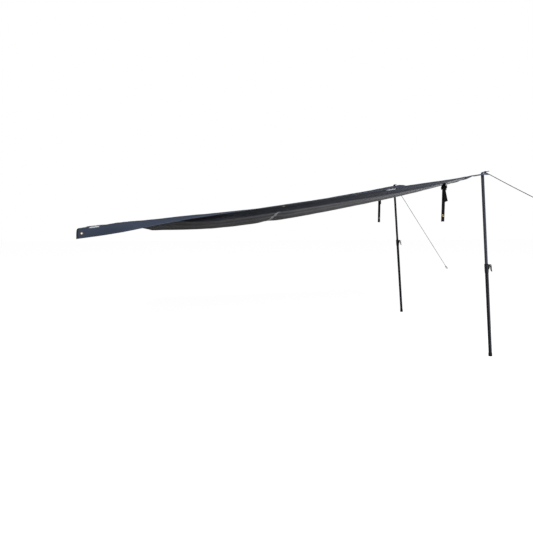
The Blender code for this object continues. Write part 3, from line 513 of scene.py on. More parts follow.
def border_rise(x, across):
    """Height of a border's cloth above its hem: upright at the rear, laid out level further on."""
    share = across / BORDER
    hanging = 1.0 - ease((x - LEVELS_FROM) / LEVELS_OVER)
    front = ease((x - (CANOPY_LENGTH - FRONT_REACH)) / FRONT_REACH)
    fall = BORDER_FALL * (1.0 - hanging) * (1.0 - front) + FRONT_FALL * front
    upright = (across ** -6.0 + UPRIGHT ** -6.0) ** (-1.0 / 6.0)
    if x < ROLL_TOP:
        roll = ROLL * ease((x - ROLL_START) / (ROLL_TOP - ROLL_START))
    else:
        roll = ROLL * (1.0 - ease((x - ROLL_TOP) / (ROLL_END - ROLL_TOP)))
    return hanging * upright + roll * sin(pi * share) - fall * share


DROOP = 0.016
DROOP_FROM = 0.015


def corner_droop(x, across):
    """How far the loose corner outside a front eyelet is pressed down by the rope over it."""
    start = DROOP_FROM * sqrt(2)
    reach = EYELET_INSET * sqrt(2) - start
    out = (x - (CANOPY_LENGTH - EYELET_INSET) + EYELET_INSET - across) / sqrt(2) - start
    return DROOP * (max(0.0, out) / reach) ** 1.2


REAR_TUCK = 0.068
REAR_TUCK_REACH = 0.475
BELLY_ROUND = 1.53


@lru_cache(maxsize=None)
def border_point(x, across, side):
    """A point of a side's border at a cloth distance from the hem: its distance out, and z."""
    steps = 12
    run = across / steps
    out = CANOPY_HALF_WIDTH - REAR_TUCK * (1.0 - ease(x / REAR_TUCK_REACH))
    rise = 0.0
    for i in range(1, steps + 1):
        if run > 0.0:
            last = rise
            rise = border_rise(x, run * i)
            climb = min(abs(rise - last), 0.995 * run)
            out -= sqrt(run * run - climb * climb)
    return out, hem_height(x, side) + rise - corner_droop(x, across)


def cloth_point(x, u):
    """A point on the canopy's top face. u is -2 at the near hem, -1 at its border's seam, 0 in
    the middle, 1 and 2 on the far side."""
    q = 2.0 - abs(u)
    side = -1.0 if u <= 0.0 else 1.0
    if q <= 1.0:
        out, z = border_point(x, q * BORDER, side)
    else:
        seam_out, seam_z = border_point(x, BORDER, side)
        t = q - 1.0
        out = seam_out * (1.0 - t)
        z = seam_z + (middle_height(x) - seam_z) * (1.0 - (1.0 - t) ** BELLY_ROUND)
    return Vector((x, side * out, z))


def cloth_normal(x, u):
    """The way the canopy's top face looks at a point."""
    low = max(-2.0, u - 0.01)
    high = min(2.0, u + 0.01)
    along = cloth_point(x + 0.004, u) - cloth_point(x - 0.004, u)
    across = cloth_point(x, high) - cloth_point(x, low)
    return along.cross(across).normalized()


EYELET_FLAT = 0.012
TAB_FLAT = 0.021
TAB_FACES = {"near": Vector((-0.23238, 0.07868, 0.96944)),
             "far": Vector((-0.2449, -0.10458, 0.96389))}
# Where each side's cloth is held flat: its rear, mid and front eyelets, and its strap tab. Each
# has a middle, the way it faces, and how far round it the cloth is flat.
SEATS = {
    "near": [
        (Vector((0.035, -0.98125, -0.04138)), Vector((-0.08372, -0.97638, 0.19919)), EYELET_FLAT),
        (Vector((1.4525, -1.01881, 0.15171)), Vector((-0.10604, 0.24869, 0.96276)), EYELET_FLAT),
        (*EYELET_TOP["near"][:2], EYELET_FLAT),
        (Vector((2.6985, -0.85315, 0.32827)), TAB_FACES["near"], TAB_FLAT)],
    "far": [
        (Vector((0.035, 0.98125, -0.04516)), Vector((-0.09214, 0.97565, 0.19904)), EYELET_FLAT),
        (Vector((1.4525, 1.01881, 0.156)), Vector((-0.11373, -0.24848, 0.96194)), EYELET_FLAT),
        (*EYELET_TOP["far"][:2], EYELET_FLAT),
        (Vector((2.709, 0.85307, 0.34481)), TAB_FACES["far"], TAB_FLAT)],
}

# Heights of the cloth's small rises and falls.
SEAM_PUCKER = 0.0012
HEM_PUCKER = 0.0010
PULL_LINES = 0.0055
LONG_FOLDS = 0.0140
SHORT_FOLDS = 0.0080
TAPE_RIDGE = 0.0080
BORDER_DISH = 0.0040
SOFT_CREASES = 0.0014
TAUT_RIDGE = 0.0055


def wrinkle(x, u, y):
    """Small rises and falls of the cloth: pull lines, seam pucker and soft creases."""
    q = 2.0 - abs(u)
    side = -1.0 if u <= 0.0 else 1.0
    seam = abs(q - 1.0) * BORDER if q < 1.0 else (q - 1.0) * BELLY_HALF
    hem = q * BORDER if q < 1.0 else 1.0
    pucker = SEAM_PUCKER * exp(-(seam / 0.020) ** 2) * noise.noise(
        Vector((x * 42.0, side * 9.0, 0.0)))
    pucker += HEM_PUCKER * exp(-(hem / 0.018) ** 2) * noise.noise(
        Vector((x * 36.0, side * 3.0, 5.0)))
    away_x = CANOPY_LENGTH - EYELET_INSET - x
    away_y = CANOPY_HALF_WIDTH - EYELET_INSET - abs(y)
    from_eye = sqrt(away_x * away_x + away_y * away_y)
    pull = 0.0
    if 0.03 < from_eye < 1.6:
        angle = away_y / from_eye
        fade = ease((from_eye - 0.03) / 0.12) * exp(-from_eye / 0.55)
        pull = PULL_LINES * fade * noise.noise(Vector((angle * 9.0, side * 2.0, from_eye * 0.8)))
    if q > 1.0:
        settle = ease((q - 1.0) / 0.18)
        clear = 1.0 - 0.6 * exp(-(y / 0.14) ** 2)
        folds = LONG_FOLDS * settle * clear * noise.noise(Vector((x * 0.7, y * 6.5, 2.0)))
        folds += SHORT_FOLDS * settle * clear * noise.noise(Vector((x * 1.4, y * 16.0, 7.0)))
        folds += TAPE_RIDGE * settle * hump(x, TAPE_X, 0.06)
    else:
        folds = -BORDER_DISH * (1.0 - cos(2 * pi * q)) * hump(x, 2.20, 0.36)
    soft = SOFT_CREASES * noise.noise(Vector((x * 11.0, y * 11.0, 11.0)))
    taut = TAUT_RIDGE * hump(abs(y), 0.76, 0.20) * ease((x - 2.5) / 0.45)
    edge = ease(min(x, CANOPY_LENGTH - x) / 0.02 + 0.35)
    return (pucker + pull + folds + soft) * edge + taut


def draped(x, u, depth=0.0):
    """A point of the wrinkled cloth, at a depth below its top face.

    Round each eyelet and strap tab the cloth is held flat.
    """
    spot = cloth_point(x, u)
    normal = cloth_normal(x, u)
    spot = spot + normal * wrinkle(x, u, spot.y)
    for centre, facing, held in SEATS["near" if u <= 0.0 else "far"]:
        away = (spot - centre).length
        if away < held * 3.0:
            flat = 1.0 - ease((away - held) / (held * 2.0))
            spot = spot - facing * ((spot - centre).dot(facing) * flat)
            normal = normal.lerp(facing, flat).normalized()
    return spot - normal * depth


def flat_place(u):
    """How far a line of the cloth is from its middle when it lies flat."""
    if abs(u) <= 1.0:
        return u * BELLY_HALF
    return (BELLY_HALF + (abs(u) - 1.0) * BORDER) * (1.0 if u > 0.0 else -1.0)


def line_at(across):
    """The line u of the cloth at a flat distance from its middle."""
    if abs(across) <= BELLY_HALF:
        return across / BELLY_HALF
    return (1.0 + (abs(across) - BELLY_HALF) / BORDER) * (1.0 if across > 0.0 else -1.0)


def spread(marks, step):
    """The marks with even stations between them, none wider than step."""
    out = []
    for a, b in zip(marks, marks[1:]):
        count = max(1, int((b - a) / step + 0.999))
        out += [a + (b - a) * i / count for i in range(count)]
    return out + [marks[-1]]


PATCH_R = 0.019
RIM_R = 0.012


def punch_eyelets(bm):
    """Cut the eyelet holes while the cloth still lies flat, in a finer patch of its grid."""
    for x in EYELET_X:
        for across in (-EYELET_OUT, EYELET_OUT):
            middle = Vector((x, across, 0.0))
            around = [f for f in bm.faces if (f.calc_center_median() - middle).length < PATCH_R]
            if not around:
                continue
            edges = list({e for f in around for e in f.edges})
            bmesh.ops.subdivide_edges(bm, edges=edges, cuts=3, use_grid_fill=True)
            inside = [f for f in bm.faces
                      if (f.calc_center_median() - middle).length < EYELET_HOLE]
            bmesh.ops.delete(bm, geom=inside, context="FACES")
            for vert in bm.verts:
                away = vert.co - middle
                if vert.is_boundary and away.length < RIM_R:
                    vert.co = middle + away.normalized() * EYELET_HOLE


def cloth_piece(name, xs, us, depth, thick, *finishes):
    """A layer of cloth, cut flat and then draped. Its UV map is its flat size in metres."""
    bm = bmesh.new()
    columns = len(xs) - 1
    rows = len(us) - 1
    bmesh.ops.create_grid(bm, x_segments=columns, y_segments=rows, size=1.0, calc_uvs=True)
    for vert in bm.verts:
        i = grid_step(vert.co.x, columns)
        j = grid_step(vert.co.y, rows)
        vert.co = (xs[i], flat_place(us[j]), 0.0)
    punch_eyelets(bm)
    uv = bm.loops.layers.uv.verify()
    for face in bm.faces:
        for loop in face.loops:
            loop[uv].uv = loop.vert.co.xy
    for vert in bm.verts:
        vert.co = draped(vert.co.x, line_at(vert.co.y), depth)
    obj = piece(bm, name, *finishes, angle=70.0)
    wall = obj.modifiers.new("cloth", "SOLIDIFY")
    wall.thickness = thick
    wall.offset = -1.0
    wall.use_rim = True
    if len(finishes) > 1:
        wall.material_offset = 1
    return obj


def noise_value(tree, vector, scale, detail=2.0, roughness=0.5):
    """Smooth noise by a vector."""
    speck = node(tree, "TexNoise", Scale=scale, Detail=detail, Roughness=roughness)
    tree.links.new(vector, speck.inputs["Vector"])
    return speck.outputs["Fac"]


def add_up(tree, *shares):
    """Several patterns added up: shares are pairs of value and weight."""
    total = None
    for value, weight in shares:
        share = join_values(tree, "MULTIPLY", value, weight)
        total = share if total is None else join_values(tree, "ADD", total, share)
    return total


def vary_roughness(tree, value, low, high):
    """Roughness between two limits by a value."""
    span = node(tree, "MapRange", To_Min=low, To_Max=high)
    tree.links.new(value, span.inputs["Value"])
    tree.links.new(span.outputs[0], surface(tree, "Roughness"))


WEAVE_FINE = 420.0


def canvas_finish(name, pale, mid, deep, sheen, gloss=0.05, creases_and_painted_shade=(24.0, 0.25, 0.20)):
    """Proofed canvas: a close plain weave with slubs, faint chalky rubs and soft dye change.

    The creases raise the bump, and their share of the tone paints them as dark and pale streaks:
    painted shade and highlight of their folds. The last argument gives how fine the creases are,
    their share of the tone, and half the tone's width.
    """
    made, tree, where = finish_material(name, "UV", mid, 0.82, sheen=sheen, gloss=gloss)
    surface(tree, "Sheen Roughness").default_value = 0.45
    fine, share, half = creases_and_painted_shade
    warp = wave_value(tree, where, WEAVE_FINE, "X")
    weft = wave_value(tree, where, WEAVE_FINE, "Y")
    weave = join_values(tree, "MULTIPLY", warp, weft)
    dye = noise_value(tree, where, 3.0, 3.0, 0.55)
    slub = noise_value(tree, scaled(tree, where, (18.0, 900.0, 1.0)), 1.0)
    # Creases: they raise the bump, and their share of the tone is painted shade and highlight
    # along the folds.
    crease_bump_and_painted_shade = noise_value(tree, scaled(tree, where, (fine * 0.07, fine, 1.0)), 1.0, 3.0, 0.55)
    rub = noise_value(tree, where, 38.0, 5.0, 0.7)
    even = (1.0 - share) / 3.75
    tone = add_up(tree, (slub, even), (dye, even * 1.75), (rub, even), (crease_bump_and_painted_shade, share))
    color = colour_ramp(tree, tone, (0.50 - half, deep), (0.50, mid), (0.50 + half, pale))
    grey = colour_ramp(tree, weave, (0.0, (0.55, 0.55, 0.55)), (0.6, (1.1, 1.1, 1.1)))
    darker = node(tree, "Mix", data_type="RGBA", blend_type="MULTIPLY", Factor=0.30)
    tree.links.new(color, darker.inputs[6])
    tree.links.new(grey, darker.inputs[7])
    tree.links.new(darker.outputs[2], surface(tree, "Base Color"))
    vary_roughness(tree, rub, 0.74, 0.94)
    add_bump(tree, add_up(tree, (weave, 0.14), (slub, 0.10), (crease_bump_and_painted_shade, 1.0)), 0.5, 0.0014)
    return made


# The crease streaks in each canvas's tone are painted shade and highlight of its folds.
outer_canvas = canvas_finish("navy_canvas", (0.066, 0.083, 0.126), (0.051, 0.065, 0.100),
                             (0.040, 0.052, 0.082), 0.06)
# Most of its span from dark to pale grey is painted shade and highlight of its lengthwise creases.
inner_canvas = canvas_finish("canvas_underside", (0.430, 0.430, 0.448), (0.300, 0.301, 0.318),
                             (0.195, 0.197, 0.212), 0.02, 0.02, creases_and_painted_shade=(7.0, 0.65, 0.10))

END_BAND = 0.050
CLOTH_STEP = 0.0140
X_FINE = spread([0.0, END_BAND, CANOPY_LENGTH - END_BAND, CANOPY_LENGTH], CLOTH_STEP)
HALF_FINE = spread([-2.0, -1.0], 0.10) + spread([-1.0, 0.0], 0.0145)[1:]
U_FINE = HALF_FINE + [-u for u in HALF_FINE[-2::-1]]
canopy = cloth_piece("canopy_canvas", X_FINE, U_FINE, 0.0, CLOTH, outer_canvas, inner_canvas)
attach(canopy, "canopy")
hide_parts("canopy_sheet")


# Borders and end hems
#
# The canvas is turned under 120 mm along both sides and 50 mm along both ends, and stitched down.
# The folded edge is rounded, and its colour is painted paler than the canvas: a painted highlight
# along it. It is thicker at the front corners, where two hems are folded over each other. A dark
# bound strip covers the rear edge.

# Its crease streaks, a large share of its tone, are painted shade and highlight of its folds.
border_canvas = canvas_finish("border_canvas", (0.130, 0.139, 0.166), (0.090, 0.097, 0.117),
                              (0.060, 0.066, 0.082), 0.03, 0.02, creases_and_painted_shade=(22.0, 0.60, 0.12))
SEAM_GAP = 0.004
side_us = spread([-2.0, -1.0], 0.10)
inner_us = [u for u in U_FINE if -1.0 < u < 1.0]
inner_us = [-1.0 + SEAM_GAP] + inner_us[1:-1] + [1.0 - SEAM_GAP]
end_xs = {"rear": spread([0.0, END_BAND], 0.0125),
          "front": spread([CANOPY_LENGTH - END_BAND, CANOPY_LENGTH], 0.0125)}
layer = CLOTH + GAP
under = layer + BAND_CLOTH
sewn = []
for side, us in (("near", side_us), ("far", [-u for u in side_us[::-1]])):
    border = cloth_piece(f"{side}_border", X_FINE, us, layer, BAND_CLOTH, border_canvas)
    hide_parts(f"{side}_side_band")
    sewn.append(border)
for end, xs in end_xs.items():
    band = cloth_piece(f"{end}_hem_band", xs, inner_us, layer, BAND_CLOTH, border_canvas)
    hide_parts(f"{end}_band")
    sewn.append(band)

# Paler than the navy canvas: a painted highlight along the rolled hem edge.
edge_painted_highlight_canvas = canvas_finish("folded_edge_painted_highlight", (0.125, 0.145, 0.190), (0.095, 0.112, 0.150),
                            (0.070, 0.084, 0.118), 0.08)
EDGE_R = 0.0022
EDGE_SIDES = 8
# The thicker front corners: where they start and end along the side, and over what length.
CORNER_FROM, CORNER_GROWS = 2.812, 0.030
CORNER_TO, CORNER_FADES = 2.932, 0.018
CORNER_THICKER = 1.3
CORNER_LOWER = 0.0037
edge_in = EDGE_R / BORDER
fold = CLOTH + GAP / 2
edge_xs = spread([EDGE_R, CANOPY_LENGTH - EDGE_R], CLOTH_STEP)
edge_line = [draped(x, -2.0 + edge_in, fold) for x in edge_xs]
edge_line += [draped(CANOPY_LENGTH - EDGE_R, u, fold) for u in U_FINE[1:-1]]
edge_line += [draped(x, 2.0 - edge_in, fold) for x in edge_xs[::-1]]
bm = bmesh.new()
cord_mesh(bm, edge_line, EDGE_R, EDGE_SIDES)
for vert in bm.verts:
    x = vert.co.x
    layers = ease((x - CORNER_FROM) / CORNER_GROWS) * (1.0 - ease((x - CORNER_TO) / CORNER_FADES))
    if layers > 0.0:
        middle = min(edge_line, key=lambda spot: (spot - vert.co).length_squared)
        lower = Vector((0.0, 0.0, CORNER_LOWER * layers))
        vert.co = middle + (vert.co - middle) * (1.0 + CORNER_THICKER * layers) - lower
hem_fold = piece(bm, "folded_hem_edge", edge_painted_highlight_canvas)
sewn.append(hem_fold)

binding_cloth = canvas_finish("binding_tape", (0.034, 0.037, 0.042), (0.024, 0.026, 0.031),
                              (0.015, 0.017, 0.021), 0.04)
BINDING_FLAT = 0.030
TAPE_CLOTH = 0.0006
# The binding's way round the rear edge: distance from the edge and depth in the cloth.
binding_round = [(0.0115, -0.0004), (0.0040, -0.0009), (-0.0010, -0.0008), (-0.0022, 0.0008),
                 (-0.0010, under + 0.0006), (0.0040, under + 0.0007), (0.0115, under + 0.0002)]
bm = bmesh.new()
rows = len(U_FINE) - 1
columns = len(binding_round) - 1
bmesh.ops.create_grid(bm, x_segments=columns, y_segments=rows, size=1.0, calc_uvs=True)
uv = bm.loops.layers.uv.verify()
for face in bm.faces:
    for loop in face.loops:
        u = U_FINE[grid_step(loop.vert.co.y, rows)]
        loop[uv].uv = (loop.vert.co.x * BINDING_FLAT / 2, flat_place(u))
for vert in bm.verts:
    x, depth = binding_round[grid_step(vert.co.x, columns)]
    vert.co = draped(x, U_FINE[grid_step(vert.co.y, rows)], depth)
bmesh.ops.recalc_face_normals(bm, faces=bm.faces[:])
binding = piece(bm, "rear_edge_binding", binding_cloth, angle=70.0)
wall = binding.modifiers.new("cloth", "SOLIDIFY")
wall.thickness = TAPE_CLOTH
wall.offset = 1.0
sewn.append(binding)


# Seam tape
#
# A pale woven tape, 25 mm wide, lies across the underside, over the seam where two widths of
# canvas meet. It is sewn down with a row along each of its edges.

tape_finish, tree, where = finish_material("seam_tape_weave", "UV", (0.62, 0.61, 0.64), 0.78)
ribs = wave_value(tree, where, 900.0, "Y")
paint(tree, ribs, (0.0, (0.54, 0.53, 0.56)), (1.0, (0.68, 0.67, 0.70)))
add_bump(tree, ribs, 0.3, 0.0003)
tape_xs = spread([TAPE_X - TAPE_WIDTH / 2, TAPE_X + TAPE_WIDTH / 2], 0.007)
tape = cloth_piece("underside_tape", tape_xs, inner_us, layer, TAPE_CLOTH, tape_finish)
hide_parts("mid_seam_tape")
sewn.append(tape)

for layer_piece in sewn:
    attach(layer_piece, "canopy")


# Tie straps
#
# Black 25 mm polypropylene webbing, folded in half and sewn up under a square tab, with a long
# tail that ends in a brass eyelet, a short tail, and webbing tied round both in crossed turns.

webbing_finish, tree, where = finish_material("black_webbing", "UV", (0.005, 0.005, 0.006), 0.70,
                                              sheen=0.02, gloss=0.07)
ribs = wave_value(tree, where, 260.0, "Y")
twill = wave_value(tree, scaled(tree, where, turn=45.0), 300.0, "X")
yarn = add_up(tree, (ribs, 0.6), (twill, 0.4))
paint(tree, yarn, (0.2, (0.002, 0.002, 0.003)), (0.8, (0.006, 0.006, 0.007)),
      (1.0, (0.011, 0.011, 0.013)))
add_bump(tree, yarn, 0.7, 0.0005)

STRAP_WIDTH = 0.025
STRAP_THICK = 0.0018
WEBBING_COLUMNS = 6


def webbing_mesh(bm, points, directions, width):
    """Flat webbing along its middle line, a little thicker in the middle than at its edges."""
    grid = bmesh.new()
    rows = len(points) - 1
    bmesh.ops.create_grid(grid, x_segments=WEBBING_COLUMNS, y_segments=rows, size=1.0,
                          calc_uvs=True)
    walked = lengths_along(points)
    uv = grid.loops.layers.uv.verify()
    for face in grid.faces:
        for loop in face.loops:
            loop[uv].uv = (loop.vert.co.x * width / 2, walked[grid_step(loop.vert.co.y, rows)])
    lifts = {}
    for vert in grid.verts:
        j = grid_step(vert.co.y, rows)
        share = vert.co.x
        ahead = points[min(j + 1, rows)] - points[max(j - 1, 0)]
        normal = directions[j].cross(ahead).normalized()
        half = STRAP_THICK / 2 * (1.0 - 0.45 * abs(share) ** 4)
        vert.co = points[j] + directions[j] * share * width / 2 - normal * half
        lifts[tuple(round(c, 6) for c in vert.co)] = normal * 2 * half
    grown = bmesh.ops.extrude_face_region(grid, geom=grid.faces[:], use_keep_orig=True)
    for vert in grown["geom"]:
        if isinstance(vert, bmesh.types.BMVert):
            vert.co = vert.co + lifts[tuple(round(c, 6) for c in vert.co)]
    bmesh.ops.recalc_face_normals(grid, faces=grid.faces[:])
    put_in(bm, grid)


STRAP_START = {"near": Vector((2.69929, -0.85342, 0.32497)),
               "far": Vector((2.70983, 0.85343, 0.34154))}
TAIL_TOP = 0.012
LONG_TAIL = {"near": 0.2875, "far": 0.326}
SHORT_TAIL = 0.136
SHORT_FAN = {"near": 0.018, "far": 0.004}
SHORT_TURN = {"near": radians(20.0), "far": radians(4.0)}
WRAP_DROP = 0.0310
WRAP_HALF_X = 0.0195
WRAP_HALF_Y = 0.0060
WRAP_SLOPE = 0.40
WRAP_END = WRAP_DROP + STRAP_WIDTH / 2 + WRAP_HALF_X * WRAP_SLOPE


def strap_route(start, normal, along, hand, drops, fan, turn):
    """Points and width directions of one tail: folded under its tab, then hanging."""
    sideways = normal.cross(along).normalized() * hand
    half = STRAP_THICK / 2
    lane = half + GAP
    folded = ((0.0080, half), (0.0045, half + 0.0003), (0.0018, half + 0.0020), (0.0006, 0.0060))
    points = [start + sideways * (lane + out) - normal * down for out, down in folded]
    directions = [along] * len(folded)
    level = Vector((cos(turn), 0.0, sin(turn)))
    for drop in drops:
        low = max(0.0, drop - WRAP_END) / (drops[-1] - WRAP_END)
        away = lane + 0.0024 + 0.0040 * low * low
        points.append(start + Vector((fan * low, sideways.y * away, -drop)))
        directions.append(along.lerp(level, ease(drop / 0.10)).normalized())
    return points, directions


def tied_turn(centre, half_x, half_y, slope, crush):
    """One turn of webbing round both tails. It slopes across them, and a crush creases it."""
    points = []
    directions = []
    for k in range(41):
        a = 2 * pi * k / 40
        flat_x = half_x * (abs(cos(a)) ** 0.7) * (1 if cos(a) > 0 else -1)
        flat_y = half_y * (abs(sin(a)) ** 0.7) * (1 if sin(a) > 0 else -1)
        flat_y += crush * sin(3 * a) * (1 if flat_y > 0 else -1)
        points.append(centre + Vector((flat_x, flat_y, -flat_x * slope)))
        directions.append(Vector((0.12 * sin(2 * a), 0.0, 1.0)).normalized())
    return points, directions


def webbing_piece(name, solid, lengths, width=STRAP_WIDTH):
    """Lengths of webbing as one piece that goes with the canopy and stands in for a solid."""
    bm = bmesh.new()
    for points, directions in lengths:
        webbing_mesh(bm, points, directions, width)
    made = piece(bm, name, webbing_finish)
    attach(made, "canopy")
    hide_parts(solid)


for side, start in STRAP_START.items():
    normal = TAB_FACES[side]
    level_x = Vector((1.0, 0.0, 0.0))
    along = (level_x - normal * level_x.dot(normal)).normalized()
    across = normal.cross(along)
    tails = {"long": (LONG_TAIL[side], 40, 1.0, 0.0, 0.0),
             "short": (SHORT_TAIL, 20, -1.0, SHORT_FAN[side], SHORT_TURN[side])}
    for kind, (length, steps, hand, fan, turn) in tails.items():
        drops = [TAIL_TOP + (length - TAIL_TOP) * k / steps for k in range(steps + 1)]
        webbing_piece(f"{side}_{kind}_tail", f"{side}_{kind}_strap",
                      [strap_route(start, normal, along, hand, drops, fan, turn)])
    tab = [start + normal * 0.0012 + across * STRAP_WIDTH * (k / 6 - 0.5) for k in range(7)]
    webbing_piece(f"{side}_sewn_tab", f"{side}_strap_tab", [(tab, [along] * 7)])
    knot = start - Vector((0.0, 0.0, WRAP_DROP))
    inner = tied_turn(knot, WRAP_HALF_X - 0.0010, WRAP_HALF_Y + 0.0009, WRAP_SLOPE, 0.0)
    outer = tied_turn(knot + Vector((0.0008, 0.0, 0.0020)), WRAP_HALF_X + 0.0022,
                      WRAP_HALF_Y + 0.0034, -0.30, 0.0007)
    webbing_piece(f"{side}_tied_turn", f"{side}_strap_wrap", [inner, outer], STRAP_WIDTH * 0.92)


# Bare tags
#
# Two small pale woven tags with turned ends are sewn flat to the cloth: one over the fold of the
# near side at the rear, one inside the near border. They are left blank.

tag_finish, tree, where = finish_material("pale_tag", "UV", (0.74, 0.75, 0.78), 0.55, sheen=0.15)
satin = wave_value(tree, where, 330.0, "Y")
soil = noise_value(tree, where, 60.0, 4.0, 0.6)
satin_tone = add_up(tree, (satin, 0.4), (soil, 0.6))
paint(tree, satin_tone, (0.25, (0.60, 0.61, 0.63)), (0.55, (0.74, 0.75, 0.78)),
      (0.80, (0.82, 0.83, 0.86)))
add_bump(tree, satin, 0.3, 0.0003)

# Each tag: its span along the cloth, its span of lines across it, and its depth.
TAGS = {
    "fold_tag": ((0.085, 0.155), (-1.42, -1.22), -0.0008),
    "border_tag": ((2.193, 2.263), (-1.89, -1.79), under + 0.0001),
}
for name, (x_span, u_span, depth) in TAGS.items():
    tag = cloth_piece(name, spread(x_span, 0.006), spread(u_span, 0.035), depth, TAPE_CLOTH,
                      tag_finish)
    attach(tag, "canopy")


# Stitching
#
# Every seam is sewn with slate blue polyester thread in a long lockstitch: three rows along each
# side, two at each end, one of them through the rear binding, two on the seam tape, and a
# crossed square on each strap tab.

thread_finish, tree, where = finish_material("bonded_thread", "Object", (0.085, 0.100, 0.135),
                                             0.55, gloss=0.2)
twist = noise_value(tree, where, 900.0)
paint(tree, twist, (0.35, (0.060, 0.072, 0.100)), (0.65, (0.110, 0.128, 0.170)))
add_bump(tree, twist, 0.4, 0.0002)

STITCH = 0.0080
THREAD = 0.0008
SIDE_ROWS = (0.009, BORDER - 0.010, BORDER - 0.004)
SIDE_FROM = 0.016
SIDE_TO = CANOPY_LENGTH - 0.006
END_ROWS = (0.046, CANOPY_LENGTH - 0.046, CANOPY_LENGTH - 0.008)
TAPE_ROWS = (TAPE_X - 0.0095, TAPE_X + 0.0095)
BINDING_ROW = 0.0090
UNDER_REACH = BELLY_HALF - 0.010
BOX_HALF = 0.0095
BOX_STITCH = 0.0048
STITCH_SHARE = 0.66
STITCH_TAPER = 0.22


def sew(bm, spots, facings):
    """A row of stitches along a line of points, each two thirds of the way to the next."""
    row = bmesh.new()
    for a, b, facing in zip(spots, spots[1:], facings):
        ahead = (b - a).normalized()
        hand = facing.cross(ahead).normalized()
        middle = a.lerp(b, 0.5)
        turned = Matrix((ahead, hand, ahead.cross(hand))).transposed().to_4x4()
        size = Matrix.Diagonal(((b - a).length * STITCH_SHARE, THREAD, THREAD * 0.7, 1.0))
        made = bmesh.ops.create_cube(row, size=1.0,
                                     matrix=Matrix.Translation(middle) @ turned @ size)
        for vert in made["verts"]:
            if (vert.co - a).dot(facing) > (middle - a).dot(facing):
                vert.co = vert.co.lerp(middle, STITCH_TAPER)
    put_in(bm, row)


def sew_along(bm, start, end, across, depth, hand):
    """A row that runs along the canopy at one flat distance from its middle."""
    u = line_at(across)
    xs = spread([start, end], STITCH)
    sew(bm, [draped(x, u, depth) for x in xs], [cloth_normal(x, u) * hand for x in xs])


def sew_across(bm, x, reach, depth, hand):
    """A row that runs across the canopy at one distance from its rear edge."""
    us = [line_at(v) for v in spread([-reach, reach], STITCH)]
    sew(bm, [draped(x, u, depth) for u in us], [cloth_normal(x, u) * hand for u in us])


top_rows = bmesh.new()
under_rows = bmesh.new()
for side in (-1.0, 1.0):
    for inset in SIDE_ROWS:
        across = side * (CANOPY_HALF_WIDTH - inset)
        sew_along(top_rows, SIDE_FROM, SIDE_TO, across, 0.0, 1.0)
        sew_along(under_rows, SIDE_FROM, SIDE_TO, across, under, -1.0)
for x in END_ROWS:
    sew_across(top_rows, x, CANOPY_HALF_WIDTH - 0.014, 0.0, 1.0)
    sew_across(under_rows, x, UNDER_REACH, under, -1.0)
for x in TAPE_ROWS:
    sew_across(top_rows, x, BELLY_HALF - 0.004, 0.0, 1.0)
    sew_across(under_rows, x, UNDER_REACH, layer + TAPE_CLOTH, -1.0)
sew_across(top_rows, BINDING_ROW, CANOPY_HALF_WIDTH - 0.004, -0.0011, 1.0)
sew_across(under_rows, BINDING_ROW, CANOPY_HALF_WIDTH - 0.004, under + 0.0009, -1.0)
for side, start in STRAP_START.items():
    normal = TAB_FACES[side]
    along = (Vector((1.0, 0.0, 0.0)) - normal * normal.x).normalized()
    across = normal.cross(along)
    corners = [(-BOX_HALF, -BOX_HALF), (BOX_HALF, -BOX_HALF), (BOX_HALF, BOX_HALF),
               (-BOX_HALF, BOX_HALF)]
    ways = list(zip(corners, corners[1:] + corners[:1]))
    ways += [(corners[0], corners[2]), (corners[1], corners[3])]
    for rows_mesh, lift, facing in ((top_rows, 0.0035, normal), (under_rows, 0.0002, -normal)):
        for (x0, y0), (x1, y1) in ways:
            a = start + along * x0 + across * y0 + normal * lift
            b = start + along * x1 + across * y1 + normal * lift
            count = max(3, round((b - a).length / BOX_STITCH))
            spots = [a.lerp(b, k / count) for k in range(count + 1)]
            sew(rows_mesh, spots, [facing] * len(spots))
for name, rows_mesh in (("top_stitching", top_rows), ("under_stitching", under_rows)):
    bmesh.ops.recalc_face_normals(rows_mesh, faces=rows_mesh.faces[:])
    rows_piece = piece(rows_mesh, name, thread_finish, angle=60.0)
    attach(rows_piece, "canopy")


# Eyelets
#
# Rolled brass rings clinched through canvas and border, and one at the end of each long strap
# tail. They are dulled where the die pressed them.

brass_finish, tree, where = finish_material("eyelet_brass", "Object", (0.24, 0.19, 0.12), 0.48,
                                            metallic=1.0)
stain = noise_value(tree, where, 160.0, 4.0, 0.6)
paint(tree, stain, (0.35, (0.12, 0.088, 0.05)), (0.55, (0.24, 0.19, 0.12)),
      (0.75, (0.40, 0.34, 0.25)))
vary_roughness(tree, stain, 0.36, 0.60)


def dress(finish, *names):
    """Give CAD nodes their finish, and shade their round faces smooth up to sharp edges."""
    for name in names:
        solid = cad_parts[name]
        solid.data.materials.clear()
        solid.data.materials.append(finish)
        solid.data.shade_smooth()
        joined = solid.modifiers.new("joined", "WELD")
        joined.merge_threshold = 0.00001
        edges = solid.modifiers.new("edges", "EDGE_SPLIT")
        edges.split_angle = radians(35.0)
        edges.use_edge_sharp = False


for side in ("near", "far"):
    dress(brass_finish, *[f"{side}_{spot}_eyelet" for spot in ("rear", "mid", "front", "strap")])


# Poles
#
# Telescopic steel tubes, 22 mm over 25 mm, powder coated slate grey above and black below, with a
# blackened spigot in a nylon plug on top, a nylon flip lock clamp, and a rubber foot.

def coat_finish(name, deep, mid, pale, roughness, metallic, gloss):
    """A coated, plated or moulded face: faint lengthwise lines, orange peel and rubs."""
    made, tree, where = finish_material(name, "Object", mid, roughness, metallic, gloss=gloss)
    drawn = noise_value(tree, scaled(tree, where, (900.0, 900.0, 4.0)), 1.0)
    peel = noise_value(tree, where, 700.0)
    rub = noise_value(tree, where, 25.0, 6.0, 0.7)
    tone = add_up(tree, (drawn, 0.5), (rub, 0.5))
    paint(tree, tone, (0.30, deep), (0.50, mid), (0.75, pale))
    vary_roughness(tree, rub, roughness - 0.08, roughness + 0.14)
    add_bump(tree, peel, 0.12, 0.0002)
    return made


